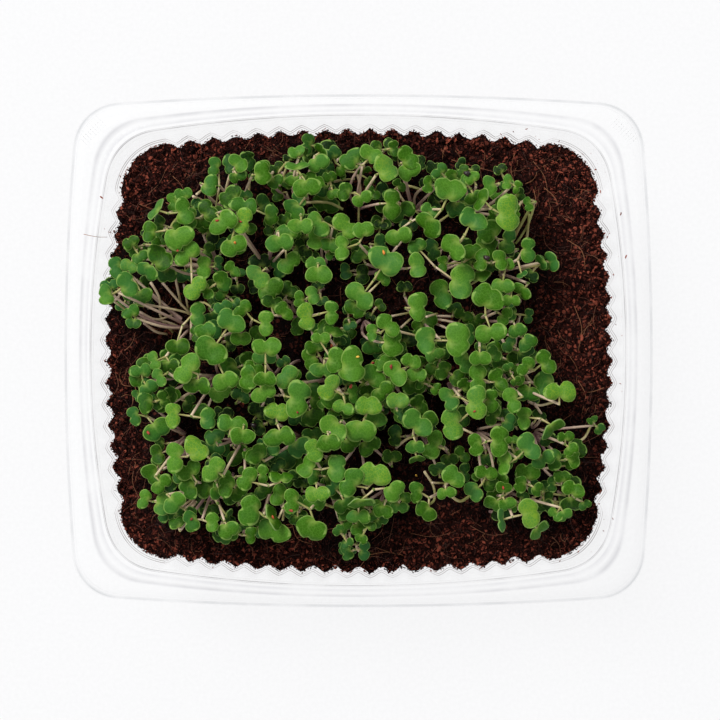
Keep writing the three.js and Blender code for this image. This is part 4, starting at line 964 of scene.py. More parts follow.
def pair_leaves(leaves):
    """Pairs the cotyledons whose stalks can meet, nearest first, if each points away from the fork."""
    heels = [fork_point([leaf]) * np.array([1, 1, 0]) for leaf in leaves]
    ahead = []
    for leaf in leaves:
        ahead.append(np.array([math.cos(leaf["bearing"] * RAD), math.sin(leaf["bearing"] * RAD), 0]))
    options = []
    for i, one in enumerate(leaves):
        for j in range(i + 1, len(leaves)):
            apart = heels[i] - heels[j]
            length = math.sqrt(apart[0] * apart[0] + apart[1] * apart[1])
            if length >= PAIR_REACH:
                continue
            turn = abs((one["bearing"] - leaves[j]["bearing"] + 540) % 360 - 180)
            cost = length + LEVEL_COST * abs(one["level"] - leaves[j]["level"])
            cost += SAME_WAY_COST if turn < SAME_WAY_TURN else 0
            lead = STALK_REACH + min(apart @ ahead[i], -(apart @ ahead[j])) / 2
            if cost < PAIR_REACH and lead > LEAST_LEAD:
                options.append((cost, i, j))
    mate = {}
    for _, i, j in sorted(options):
        if i not in mate and j not in mate:
            mate[i], mate[j] = j, i
    return [[i] if i not in mate else [i, mate[i]] for i in range(len(leaves)) if mate.get(i, i) >= i]


def root_spots():
    """Where the clumps stand, in rows of six and seven that chance has moved a little."""
    spots = []
    for row in range(ROOT_ROWS):
        columns = 6 if row % 2 == 0 else 7
        for column in range(columns):
            draw = draws(ROOT_SEED + len(spots))
            x = (column - (columns - 1) / 2) * ROOT_COLUMN_PITCH + (draw() - 0.5) * ROOT_SCATTER
            y = (row - (ROOT_ROWS - 1) / 2) * ROOT_ROW_PITCH + (draw() - 0.5) * ROOT_SCATTER
            spots.append((x, y))
    return spots


def nearest_root(x, y, spots, among):
    """The clump, among those given, whose root lies nearest to a place."""
    return min(among, key=lambda k: math.hypot(x - spots[k][0], y - spots[k][1]))


def stem_bow(spot, tip, bend):
    """The foot, knee and tip that set a stem's curve, and how far it reaches sideways."""
    run = (tip[0] - spot[0], tip[1] - spot[1])
    length = math.hypot(*run) + 0.001
    out = min(FOOT_OUT, length) / length
    foot = np.array([spot[0] + run[0] * out, spot[1] + run[1] * out, SOIL_TOP + FOOT_RISE])
    side = (-run[1] / length, run[0] / length)
    knee = foot + np.array([
        run[0] * KNEE_SHARE + side[0] * bend,
        run[1] * KNEE_SHARE + side[1] * bend,
        (tip[2] - foot[2]) * KNEE_RISE,
    ])
    return foot, knee, np.array(tip), length


def bow_points(bow, shares):
    """Places along a stem's curve, given as shares of the way up."""
    foot, knee, tip = bow[:3]
    return [foot * (1 - t) ** 2 + knee * (2 * t * (1 - t)) + tip * (t * t) for t in shares]


def leaf_entry(row, seed, level):
    """A listed cotyledon with its tilts and height drawn by chance; a listed pitch comes last in its row."""
    draw = draws(seed)
    listed = row[-1] if len(row) > (5 if level else 4) else 0
    return {
        "x": row[0],
        "y": row[1],
        "bearing": row[2],
        "width": row[3],
        "level": level,
        "pitch": listed + (draw() - 0.45) * PITCH_SPREAD,
        "roll": (draw() - 0.5) * ROLL_SPREAD,
        "jitter": (draw() - 0.5) * HEIGHT_SPREAD,
        "z": 0.0,
    }


class Clearance:
    """Where leaves and stems already are, in cells as wide as the least spacing."""

    def __init__(self):
        self.taken = {}

    def cell(self, p):
        """The cell that a point lies in."""
        return tuple(math.floor(v / LEAF_SPACING) for v in p)

    def is_free(self, samples, spot, own):
        """Whether points keep their distance from other clumps, and from their own one too if asked."""
        for p in samples:
            i, j, k = self.cell(p)
            for near in [(i + u, j + v, k + w) for u in (-1, 0, 1) for v in (-1, 0, 1) for w in (-1, 0, 1)]:
                for q, of in self.taken.get(near, ()):
                    if (own or of != spot) and math.dist(p, q) < LEAF_SPACING:
                        return False
        return True

    def take(self, samples, spot):
        """Marks where a clump's points lie."""
        for p in samples:
            self.taken.setdefault(self.cell(p), []).append((p, spot))


def grow_kale(clear):
    """Where each seedling stands, by the same rule as its solid, so that the finer plant fits it."""
    leaves = [leaf_entry(row, LEAF_SEED + i, row[4]) for i, row in enumerate(LEAVES)]
    spots = root_spots()
    pairs = []
    for members in pair_leaves(leaves):
        fork = fork_point([leaves[i] for i in members])
        spot = nearest_root(fork[0] * ROOT_PULL[0], fork[1] * ROOT_PULL[1], spots, range(len(spots)))
        pairs.append((members, max(leaves[i]["level"] for i in members), spot))

    def stand(members, level, spot):
        for strict in (True, False):
            for height in HEIGHT_TRIES:
                z = SOIL_TOP + LEVEL_HEIGHTS[level] + leaves[members[0]]["jitter"] + height
                placed = [{**leaves[i], "z": z + (leaves[i]["level"] - level) * LEVEL_STEP} for i in members]
                samples = [p for leaf in placed for p in blade_samples(leaf)]
                if any(p[2] < SOIL_TOP + LEAST_LEAF_HEIGHT for p in samples):
                    continue
                if not clear.is_free(samples, spot, strict):
                    continue
                tip = fork_point(placed)
                arms = [line_samples([tip, blade_points(leaf, STALK_JOINT, 0.0)]) for leaf in placed]
                for bend in BEND_TRIES:
                    bow = stem_bow(spots[spot], tip, bend)
                    shares = (0, 1) if bow[3] < STRAIGHT_RUN else (0, STEM_MIDDLE, 1)
                    stem = line_samples(bow_points(bow, shares))
                    wood = [p for p in stem if p[2] > SOIL_TOP + STEM_CLEAR_FROM]
                    wood += [p for arm in arms for p in arm]
                    high = [p for p in wood if p[2] > SOIL_TOP + STEM_STRICT_FROM]
                    if not clear.is_free(wood, spot, False):
                        continue
                    if not strict or clear.is_free(high, spot, True):
                        clear.take(samples + wood, spot)
                        return {"spot": spot, "leaves": placed, "bow": bow, "tip": tip}
        return None

    order = sorted(range(len(pairs)), key=lambda i: (-pairs[i][1], i))
    grown = [stand(*pairs[i]) for i in order]
    return [seedling for seedling in grown if seedling], spots


def low_seedlings(clear, spots, used):
    """The short seedlings under the others, each on the nearest clump's root."""
    made = []
    for i, row in enumerate(LOW_LEAVES):
        leaf = leaf_entry(row, LOW_SEED + i, 0)
        leaf["z"] = SOIL_TOP + LEVEL_HEIGHTS[0] + leaf["jitter"]
        leaf["pitch"] *= LOW_PITCH_SHARE
        tip = fork_point([leaf])
        spot = nearest_root(tip[0] * ROOT_PULL[0], tip[1] * ROOT_PULL[1], spots, used)
        bow = stem_bow(spots[spot], tip, LOW_BEND)
        made.append({"spot": spot, "leaves": [leaf], "bow": bow, "tip": tip})
        clear.take(blade_samples(leaf), spot)
    return made


def leaves_near(x, y, reach):
    """How many of the listed cotyledons lie near a place."""
    return sum(1 for row in LEAVES if math.hypot(row[0] - x, row[1] - y) < reach)


def canopy_shade(points):
    """How far the leaves shade places on the coir, from 0 in the open to 1 under a thick stand."""
    leaves = np.array([row[:2] for row in LEAVES])
    near = [np.exp(((leaves - point) ** 2).sum(axis=1) / -40).sum() for point in points]
    return np.clip(np.array(near) / 2.2, 0, 1)


def under_leaves(x, y, draw):
    """Two opposite cotyledons of a shaded seedling whose fork lies at a place."""
    bearing, width, height = 360 * draw(), 3.6 + 3.2 * draw(), 6 + 13 * draw()
    out = WAIST * width + STALK_REACH
    leaves = []
    for turn in (0, 150 + 60 * draw()):
        leaves.append({
            "x": x + math.cos((bearing + turn) * RAD) * out,
            "y": y + math.sin((bearing + turn) * RAD) * out,
            "z": SOIL_TOP + height,
            "bearing": bearing + turn,
            "width": width * (0.85 + 0.3 * draw()),
            "pitch": 30 * (draw() - 0.35),
            "roll": 40 * (draw() - 0.5),
            # The level follows the height and sets how much painted shade the leaf's tone takes.
            "level": (height - 9) / 5,
        })
    return leaves


def under_seedlings(clear, spots, used, count):
    """Shaded seedlings between the others, each with two opposite cotyledons on a stem of its own."""
    made = []
    tried = 0
    while len(made) < count and tried < 12 * count:
        draw = draws(UNDER_SEED + tried)
        tried += 1
        near = LEAVES[int(draw() * len(LEAVES))]
        x, y = near[0] + UNDER_SCATTER * (draw() - 0.5), near[1] + UNDER_SCATTER * (draw() - 0.5)
        leaves = under_leaves(x, y, draw)
        samples = [p for leaf in leaves for p in blade_samples(leaf)]
        if min(leaves_near(leaf["x"], leaf["y"], 7) for leaf in leaves) < UNDER_NEIGHBOURS:
            continue
        if not clear.is_free(samples, None, True):
            continue
        tip = fork_point(leaves)
        root = (x + UNDER_ROOT_SCATTER * (draw() - 0.5), y + UNDER_ROOT_SCATTER * (draw() - 0.5))
        spot = nearest_root(x, y, spots, used)
        clear.take(samples, spot)
        bow = stem_bow(root, tip, UNDER_BEND * (draw() - 0.5))
        made.append({"spot": spot, "leaves": leaves, "bow": bow, "tip": tip})
    return made


def blade_form(blade, spread, notch):
    """A cotyledon of unit width: two overlapping round lobes, notched a little at the base and at the tip."""
    columns, rows = 12, 4
    round_half = 0.5 - spread

    def place(column, row):
        b = -0.5 * np.sin(math.pi / 2 * (2 * column / columns - 1))
        off = np.abs(b) - spread
        half = np.sqrt(np.maximum(round_half ** 2 - off ** 2, 0))
        pinch = np.maximum(0, 1 - np.abs(b) / 0.13) ** 1.3
        low = 0.25 - half + 0.03 * pinch
        high = 0.25 + half - notch * pinch
        a = low + (high - low) * row / rows
        dome = np.maximum(0, 1 - (off ** 2 + (a - 0.25) ** 2) / round_half ** 2)
        return np.stack([a, b, 0.05 * dome], axis=1)

    piece = shaped_grid("cotyledon form", columns, rows, place)
    finished(piece, "SOLIDIFY", thickness=blade, offset=0)
    return form_of(piece, 0, 1)


def laid_blade(form, leaf, draw):
    """A cotyledon form's points in place, folded along its midrib, drooping and twisted by chance."""
    a, b, c = form["points"].T
    fold, droop = 0.05 + 0.25 * draw() ** 1.5, 0.55 * draw() ** 2
    twist, uneven, skew = 0.45 * (draw() - 0.5), 0.16 * (draw() - 0.5), 0.22 * (draw() - 0.5)
    turn, first, second = np.arctan2(b, a - 0.25), 6.3 * draw(), 6.3 * draw()
    margin = np.clip((b * b + (a - 0.25) ** 2) * 5, 0, 1)
    wobble = 1 + margin * (0.05 * np.sin(3 * turn + first) + 0.03 * np.sin(5 * turn + second))
    c = c + fold * np.abs(b) ** 1.2 - droop * np.maximum(a - 0.12, 0) ** 2 + twist * (a - 0.1) * b
    c = c + 0.03 * margin * np.sin(4 * turn + second)
    side = np.clip(b / 0.2, -1, 1)
    a = 0.25 + (a - 0.25) * wobble * (1 + skew * side)
    b = b * wobble * (1 + uneven * side)
    along, across, up, base = blade_frame(leaf)
    width = leaf["width"]
    parts = ((a, along), (b, across), (c, up))
    return base + sum(np.multiply.outer(share * width, way) for share, way in parts)


def stalk_line(leaf, tip):
    """A leaf stalk from the fork to the base notch and on under the midrib."""
    along, across, up, base = blade_frame(leaf)
    width = leaf["width"]
    notch = base + along * 0.05 * width
    under = base + along * 0.2 * width - up * 0.02 * width
    return smoothed([tip, (tip + notch) / 2 - np.array([0, 0, 0.1]), notch - up * 0.02 * width, under], 8)


def leaf_tone_and_shade(leaf, draw):
    """How yellow and bright a leaf is: low ones are painted deep green as shade and high ones lighter as
    painted light, a few have yellowed.
    """
    if any(math.hypot(leaf["x"] - x, leaf["y"] - y) < 1.5 for x, y in YELLOWED):
        return 0.72 + 0.08 * draw()
    # The level term paints shade on low leaves and light on high ones; the drawn term is the leaf's own
    # random tone.
    return 0.06 + 0.13 * leaf["level"] + 0.34 * (draw() - 0.4)


def seedling_stamps(seedling, forms, foot_radius, draw):
    """The stem, leaf stalks, growing tip and cotyledons of one seedling."""
    stem, bud = forms["stem"], forms["bud"]
    line = [bow_points(seedling["bow"], [0])[0] - np.array([0, 0, STEM_SINK])]
    line += bow_points(seedling["bow"], [k / 8 for k in range(9)])
    pale = 0.15 + 0.3 * draw()
    stamps = [(stem, laid_along(stem, line, foot_radius, foot_radius * STEM_TAPER), pale)]
    for leaf in seedling["leaves"]:
        line = stalk_line(leaf, seedling["tip"])
        stamps.append((stem, laid_along(stem, line, foot_radius * STALK_SHARE, STALK_TIP), pale + 0.55))
        blade = forms["blades"][int(draw() * len(forms["blades"]))]
        stamps.append((blade, laid_blade(blade, leaf, draw), leaf_tone_and_shade(leaf, draw)))
    size = np.array([0.36, 0.36, 0.5]) * (0.8 + 0.5 * draw())
    stamps.append((bud, bud["points"] * size @ turned(draw) + seedling["tip"] + np.array([0, 0, 0.25]), 1.2))
    return stamps


def on_line(line, draw):
    """A random point on a closed line."""
    k, t = int(draw() * len(line)), draw()
    return line[k] * (1 - t) + line[(k + 1) % len(line)] * t


def in_the_open(x, y, draw):
    """Whether loose coir is dropped at a place: always in the open, and seldom under leaves."""
    return not (leaves_near(x, y, COVER_REACH) > COVER_LEAVES and draw() > COVERED_SHARE)


def crumb_stamp(forms, draw, at, size, tone):
    """A crumb or grain of one of the forms, longer than wide, turned by chance."""
    form = forms[int(draw() * len(forms))]
    shape = np.array([1.35, 0.32 + 0.48 * draw(), 0.26 + 0.36 * draw()]) * size
    return form, form["points"] * shape @ turned(draw) + np.array(at), tone


def litter_stamps(forms, count, least, spread, gloom, draw):
    """Loose bits of one kind: over the coir in the open, and then more of them down its edge."""
    brink = wall_line(SOIL_TOP, LITTER_INSET, FLUTE_DEPTH)
    edge = wall_line(SOIL_TOP, -SOIL_GAP, FLUTE_DEPTH)
    stamps = []
    while len(stamps) < count:
        x, y = on_line(brink, draw) * draw() ** LITTER_OUTWARD
        if in_the_open(x, y, draw):
            size = least + spread * draw() ** 3
            at = (x, y, soil_height(x, y) + LITTER_SUNK * size)
            # A crumb's own random tone, with painted shade where leaves stand over it.
            dry_tone_and_shade = (1.05 * draw() ** gloom) * (1 - 0.8 * canopy_shade([(x, y)])[0])
            stamps.append(crumb_stamp(forms, draw, at, size, dry_tone_and_shade))
    for i in range(count // EDGE_LITTER_SHARE):
        size = least + 0.5 * spread * draw() ** 3
        x, y = on_line(edge, draw) * (1 - (size - 0.2 + 2.6 * draw() ** 2) / 62)
        at = (x, y, SOIL_TOP - 2.2 * draw() + 0.2)
        stamps.append(crumb_stamp(forms, draw, at, size, draw() ** 2.2))
    return stamps


def wall_crumb_stamps(forms, draw):
    """Crumbs left lying on the rim and its shoulder, and finer ones that cling to the wall."""
    stamps = []
    ledge = tray_rings()[LEDGE_ROWS].reshape(-1, 3)
    for spot in WALL_CRUMBS:
        at = ledge[np.argmin(np.hypot(*(ledge[:, :2] - spot).T))] + (0, 0, 0.1)
        stamps.append(crumb_stamp(forms, draw, at, 0.28 + 0.2 * draw(), 0.6 + 0.3 * draw()))
    for i in range(CLINGING_CRUMBS):
        z = 36 + 11 * draw()
        line = wall_line(z, -0.25, FLUTE_DEPTH if z < FLUTES_END else 0)
        place = (0.2 + 0.33 * draw() if i % 3 else draw()) * len(line)
        x, y = line[int(place) % len(line)]
        stamps.append(crumb_stamp(forms, draw, (x, y, z), 0.1 + 0.26 * draw() ** 2, 0.5 + 0.4 * draw()))
    return stamps


def fibre_stamps(count, draw):
    """Short fibres strewn over the coir in the open, the long ones in sight, and a hair over the rim."""
    form = tube_form(4, 8)
    brink = wall_line(SOIL_TOP, LITTER_INSET, FLUTE_DEPTH)
    stamps = []
    while len(stamps) < count:
        x, y = on_line(brink, draw) * draw() ** LITTER_OUTWARD * 0.97
        if in_the_open(x, y, draw):
            turn, bend, reach = 6.3 * draw(), draw() - 0.5, 1 + 3 * draw() ** 2
            line = []
            for k in (-1, 0, 1):
                u = x + reach * k * math.cos(turn) - bend * reach * (k * k) * math.sin(turn)
                v = y + reach * k * math.sin(turn) + bend * reach * (k * k) * math.cos(turn)
                line.append((u, v, soil_height(u, v) + 0.35 + 0.5 * draw()))
            laid = laid_along(form, smoothed(line, 8), 0.04 + 0.05 * draw(), 0.035)
            stamps.append((form, laid, 0.1 + 0.75 * draw() ** 1.5))
    for line in FIBRES:
        raised = [(x, y, soil_height(x, y) + 0.7) for x, y in line]
        stamps.append((form, laid_along(form, smoothed(raised, 10), 0.09, 0.05), 0.6 + 0.3 * draw()))
    stamps.append((form, laid_along(form, smoothed(RIM_HAIR, 10), 0.07, 0.05), 0.9))
    return stamps


def clear_material(looks):
    """Clear plastic sheet, drawn from a hot sheet over a mould, so it is glossy, with faint draw marks and
    dark lines painted where it is bent, for the reflections there.
    """
    made, tree, spot = material("Clear vacuum-formed plastic")
    marks = node(
        tree, "ShaderNodeTexNoise", values={"Scale": cells(DRAW_MARKS), "Detail": 2.0},
        links={"Vector": spot},
    )
    bump = node(
        tree, "ShaderNodeBump", values={"Strength": 0.06, "Distance": 0.0002}, links={"Height": marks},
    )
    facing = node(tree, "ShaderNodeLayerWeight", values={"Blend": 0.5}, links={"Normal": bump})
    grazing = node(
        tree, "ShaderNodeMapRange", values={"From Min": 0.84, "From Max": 1.0},
        links={"Value": facing.outputs["Facing"]},
    )
    tint = node(
        tree, "ShaderNodeMix", {"data_type": "RGBA"},
        {"A": opaque(looks.tint), "B": opaque(looks.edge_tint)}, {"Factor": grazing},
    )
    flat = node(tree, "ShaderNodeUVMap", {"uv_map": "UVMap"})
    rows = node(tree, "ShaderNodeSeparateXYZ", links={"Vector": flat})
    # Painted reflection: a dark line at each bend ring, broken here and there.
    stops = [(0.0, linear("ffffff"))]
    for row, shade in PAINTED_BEND_LINES:
        stops += [
            ((row - BEND_REACH) / TRAY_ROWS, linear("ffffff")),
            (row / TRAY_ROWS, linear(shade)),
            ((row + BEND_REACH) / TRAY_ROWS, linear("ffffff")),
        ]
    painted_bend_lines = node(tree, "ShaderNodeValToRGB", links={"Fac": rows.outputs["Y"]}, stops=stops)
    broken = node(
        tree, "ShaderNodeTexNoise", values={"Scale": cells(BEND_BREAKS), "Detail": 2.0},
        links={"Vector": spot},
    )
    kept = node(
        tree, "ShaderNodeMapRange", values={"From Min": 0.35, "From Max": 0.6, "To Min": 0.35},
        links={"Value": broken},
    )
    lined = node(
        tree, "ShaderNodeMix", {"data_type": "RGBA", "blend_type": "MULTIPLY"},
        links={"Factor": kept, "A": tint, "B": painted_bend_lines},
    )
    through = node(tree, "ShaderNodeBsdfTransparent", links={"Color": lined})
    gloss = node(
        tree, "ShaderNodeBsdfPrincipled",
        values={"Base Color": linear("f4f6f7"), "Roughness": 0.07, "IOR": 1.5}, links={"Normal": bump},
    )
    share = node(
        tree, "ShaderNodeMapRange", values={"To Min": 0.015, "To Max": 0.06},
        links={"Value": facing.outputs["Fresnel"]},
    )
    mixed = node(tree, "ShaderNodeMixShader", links={"Fac": share, 1: through, 2: gloss})
    node(tree, "ShaderNodeOutputMaterial", links={"Surface": mixed})
    return made


def coir_material(looks, name, loose):
    """Ground coconut husk, dark and moist with drier rusty grains; on the bed, shade is painted into the
    cracks between clods and under the leaves. Each loose crumb has a tone of its own.
    """
    made, tree, spot = material(name)
    grain = node(
        tree, "ShaderNodeTexNoise", values={"Scale": cells(COIR_GRAIN), "Detail": 4.0, "Roughness": 0.65},
        links={"Vector": spot},
    )
    tone = node(tree, "ShaderNodeAttribute", {"attribute_name": "tone"}).outputs["Fac"]
    frayed = node(
        tree, "ShaderNodeTexNoise", values={"Scale": cells(COIR_FRAY), "Detail": 2.0}, links={"Vector": spot},
    )
    pushed = node(
        tree, "ShaderNodeVectorMath", {"operation": "MULTIPLY_ADD"}, {1: (0.0012, 0.0012, 0.0012)},
        {0: frayed.outputs["Color"], 2: spot},
    )
    flecks = node(tree, "ShaderNodeTexVoronoi", values={"Scale": cells(COIR_GRAIN)}, links={"Vector": pushed})
    clods = node(tree, "ShaderNodeTexVoronoi", values={"Scale": cells(COIR_CLODS)}, links={"Vector": pushed})
    # Painted shade: the cracks between clods are darkened, over each clod's own random tone.
    rims = node(
        tree, "ShaderNodeTexVoronoi", {"feature": "DISTANCE_TO_EDGE"}, {"Scale": cells(COIR_CLODS)},
        {"Vector": pushed},
    )
    gap = node(
        tree, "ShaderNodeMapRange", {"interpolation_type": "SMOOTHSTEP"}, {"From Max": 0.28}, {"Value": rims},
    )
    each = node(tree, "ShaderNodeSeparateXYZ", links={"Vector": clods.outputs["Color"]})
    clod_tone_and_gap_shade = node(tree, "ShaderNodeMath", {"operation": "MULTIPLY"}, links={0: gap, 1: each})
    lit = node(
        tree, "ShaderNodeMath", {"operation": "MULTIPLY_ADD"}, {1: 0.0 if loose else 0.85},
        {0: clod_tone_and_gap_shade, 2: tone},
    )
    shade = node(tree, "ShaderNodeMath", {"operation": "MULTIPLY_ADD"}, {1: 0.35}, {0: grain, 2: lit})
    brown = node(tree, "ShaderNodeValToRGB", links={"Fac": shade}, stops=[
        (0.12, opaque(looks.dark)), (0.55, opaque(looks.brown)), (1.0, opaque(looks.rust)),
    ])
    fleck = node(
        tree, "ShaderNodeMapRange",
        values={"From Min": 0.93, "From Max": 0.98, "To Max": 0.0 if loose else 0.12},
        links={"Value": flecks.outputs["Color"]},
    )
    mixed = node(
        tree, "ShaderNodeMix", {"data_type": "RGBA"}, {"B": opaque(looks.rust)},
        {"Factor": fleck, "A": brown},
    )
    # Painted shade: the coir is darkened towards near black where the leaves stand thick over it.
    shaded = node(tree, "ShaderNodeAttribute", {"attribute_name": "shade"}).outputs["Fac"]
    painted_shade_share = node(tree, "ShaderNodeMath", {"operation": "MULTIPLY"}, {1: 0.78}, {0: shaded})
    painted_shade_colour = node(
        tree, "ShaderNodeMix", {"data_type": "RGBA"}, {"B": linear("050303")}, {"Factor": painted_shade_share, "A": mixed},
    )
    relief = node(tree, "ShaderNodeMath", {"operation": "ADD"}, links={0: grain, 1: grain if loose else gap})
    bump = node(
        tree, "ShaderNodeBump", values={"Strength": 0.9, "Distance": 0.0006}, links={"Height": relief},
    )
    surface = node(
        tree, "ShaderNodeBsdfPrincipled", values={"Roughness": 0.92, "Specular IOR Level": 0.1},
        links={"Base Color": painted_shade_colour, "Normal": bump},
    )
    node(tree, "ShaderNodeOutputMaterial", links={"Surface": surface})
    return made


def leaf_material(looks, under):
    """Cotyledon skin, grown with a thin wax bloom over palmate veins; the underside is paler and duller."""
    made, tree, spot = material("Kale cotyledon underside" if under else "Kale cotyledon")
    tone = node(tree, "ShaderNodeAttribute", {"attribute_name": "tone"}).outputs["Fac"]
    flat = node(tree, "ShaderNodeUVMap", {"uv_map": "UVMap"})
    split = node(tree, "ShaderNodeSeparateXYZ", links={"Vector": flat})
    side = node(tree, "ShaderNodeMath", {"operation": "ABSOLUTE"}, links={0: split.outputs["Y"]})

    # Green, mottled and netted, that turns cooler here and there and from leaf to leaf, and darker on low
    # leaves as painted shade
    mottle = node(
        tree, "ShaderNodeTexNoise", values={"Scale": cells(LEAF_MOTTLE), "Detail": 3.0},
        links={"Vector": spot},
    )
    pores = node(
        tree, "ShaderNodeTexVoronoi", {"feature": "DISTANCE_TO_EDGE"}, {"Scale": cells(LEAF_NET)},
        {"Vector": spot},
    )
    meshed = node(
        tree, "ShaderNodeMapRange", values={"From Max": 0.1, "To Min": 0.17, "To Max": 0.0},
        links={"Value": pores},
    )
    netted = node(tree, "ShaderNodeMath", {"operation": "ADD"}, links={0: meshed, 1: tone})
    shade = node(tree, "ShaderNodeMath", {"operation": "MULTIPLY_ADD"}, {1: 0.22}, {0: mottle, 2: netted})
    green = node(tree, "ShaderNodeValToRGB", links={"Fac": shade}, stops=[
        (0.12, opaque(looks.deep)), (0.55, opaque(looks.mid)), (0.86, opaque(looks.bright)),
        (1.0, opaque(looks.yellow)),
    ])
    stand = node(
        tree, "ShaderNodeTexNoise", values={"Scale": cells(LEAF_PATCHES), "Detail": 1.0},
        links={"Vector": spot},
    )
    drawn = node(tree, "ShaderNodeMath", {"operation": "MULTIPLY"}, {1: 53.7}, {0: tone})
    own = node(tree, "ShaderNodeMath", {"operation": "FRACT"}, links={0: drawn})
    leaning = node(tree, "ShaderNodeMath", {"operation": "MULTIPLY_ADD"}, {1: 0.3}, {0: own, 2: stand})
    cool = node(
        tree, "ShaderNodeMapRange", values={"From Min": 0.64, "From Max": 0.92, "To Max": 0.6},
        links={"Value": leaning},
    )
    hued = node(
        tree, "ShaderNodeMix", {"data_type": "RGBA"}, {"B": linear("2f6b33")}, {"Factor": cool, "A": green},
    )

    # Pale rim, neck, midrib and a fan of veins, by the distance from a lobe's middle and from the base; the
    # rim is partly the margin's own paler green and partly a painted edge highlight
    folded = node(tree, "ShaderNodeCombineXYZ", links={"X": split, "Y": side})
    from_lobe = node(
        tree, "ShaderNodeVectorMath", {"operation": "DISTANCE"}, {1: (0.25, 0.18, 0)}, {0: folded},
    )
    # The rim is partly the margin's paler green and partly a painted edge highlight.
    rim = node(
        tree, "ShaderNodeMapRange", {"interpolation_type": "SMOOTHSTEP"},
        {"From Min": 0.278, "From Max": 0.306, "To Max": 0.7}, {"Value": from_lobe},
    )
    from_base = node(
        tree, "ShaderNodeVectorMath", {"operation": "DISTANCE"}, {1: (0.0, 0.0, 0)}, {0: folded},
    )
    neck = node(
        tree, "ShaderNodeMapRange", {"interpolation_type": "SMOOTHSTEP"},
        {"From Min": 0.24, "From Max": 0.03, "To Max": 0.5}, {"Value": from_base},
    )
    fading = node(
        tree, "ShaderNodeMapRange", values={"From Min": 0.42, "From Max": 0.05, "To Max": 0.32},
        links={"Value": from_base},
    )
    midrib = node(
        tree, "ShaderNodeMapRange", {"interpolation_type": "SMOOTHSTEP"}, {"From Min": 0.07, "From Max": 0.0},
        {"Value": side, "To Max": fading},
    )
    bearing = node(tree, "ShaderNodeMath", {"operation": "ARCTAN2"}, links={0: side, 1: split})
    fan = node(tree, "ShaderNodeMath", {"operation": "MULTIPLY"}, {1: 4.2}, {0: bearing})
    swing = node(tree, "ShaderNodeMath", {"operation": "SINE"}, links={0: fan})
    close = node(tree, "ShaderNodeMath", {"operation": "ABSOLUTE"}, links={0: swing})
    wide = node(tree, "ShaderNodeMath", {"operation": "MULTIPLY"}, links={0: close, 1: from_base})
    veins = node(
        tree, "ShaderNodeMapRange", {"interpolation_type": "SMOOTHSTEP"},
        {"From Min": 0.03, "From Max": 0.0, "To Max": 0.14}, {"Value": wide},
    )
    pale = node(tree, "ShaderNodeMath", {"operation": "MAXIMUM"}, links={0: midrib, 1: veins})
    colour = hued
    for factor, tint in [(neck, "8fa845"), (pale, "8fae55"), (rim, "93b458")]:
        colour = node(
            tree, "ShaderNodeMix", {"data_type": "RGBA"}, {"B": linear(tint)},
            {"Factor": factor, "A": colour},
        )
    if under:
        colour = node(
            tree, "ShaderNodeMix", {"data_type": "RGBA"}, {"Factor": 0.5, "B": linear("8aa172")},
            {"A": colour},
        )

    relief = node(
        tree, "ShaderNodeMath", {"operation": "MULTIPLY_ADD"}, {1: 1.0 if under else -0.8},
        {0: pale, 2: mottle},
    )
    bump = node(
        tree, "ShaderNodeBump", values={"Strength": 0.35, "Distance": 0.0003}, links={"Height": relief},
    )
    skin = node(
        tree, "ShaderNodeBsdfPrincipled",
        values={"Roughness": 0.66 if under else 0.55, "Specular IOR Level": 0.16},
        links={"Base Color": colour, "Normal": bump},
    )
    glow = node(tree, "ShaderNodeBsdfTranslucent", links={"Color": colour})
    mixed = node(tree, "ShaderNodeMixShader", values={"Fac": 0.16}, links={1: skin, 2: glow})
    node(tree, "ShaderNodeOutputMaterial", links={"Surface": mixed})
    return made


def stem_material():
    """Seedling stem, tender and slightly glossy: mauve at the foot, then cream, and green at the leaves."""
    made, tree, spot = material("Kale stem")
    tone = node(tree, "ShaderNodeAttribute", {"attribute_name": "tone"}).outputs["Fac"]
    flat = node(tree, "ShaderNodeUVMap", {"uv_map": "UVMap"})
    split = node(tree, "ShaderNodeSeparateXYZ", links={"Vector": flat})
    streak = node(
        tree, "ShaderNodeTexNoise", values={"Scale": cells(STEM_STREAKS), "Detail": 2.0},
        links={"Vector": spot},
    )
    higher = node(
        tree, "ShaderNodeMath", {"operation": "MULTIPLY_ADD"}, {1: 0.4}, {0: split.outputs["Y"], 2: tone},
    )
    mixed = node(tree, "ShaderNodeMath", {"operation": "MULTIPLY_ADD"}, {1: 0.25}, {0: streak, 2: higher})
    scaled = node(tree, "ShaderNodeMath", {"operation": "MULTIPLY"}, {1: 0.6}, {0: mixed})
    colour = node(tree, "ShaderNodeValToRGB", links={"Fac": scaled}, stops=[
        (0.16, linear("6b4356")), (0.3, linear("a98782")), (0.5, linear("e2ccac")), (0.68, linear("aca465")),
        (0.9, linear("6f8a38")),
    ])
    surface = node(
        tree, "ShaderNodeBsdfPrincipled", values={"Roughness": 0.42, "Specular IOR Level": 0.4},
        links={"Base Color": colour},
    )
    glow = node(tree, "ShaderNodeBsdfTranslucent", links={"Color": colour})
    both = node(tree, "ShaderNodeMixShader", values={"Fac": 0.12}, links={1: surface, 2: glow})
    node(tree, "ShaderNodeOutputMaterial", links={"Surface": both})
    return made


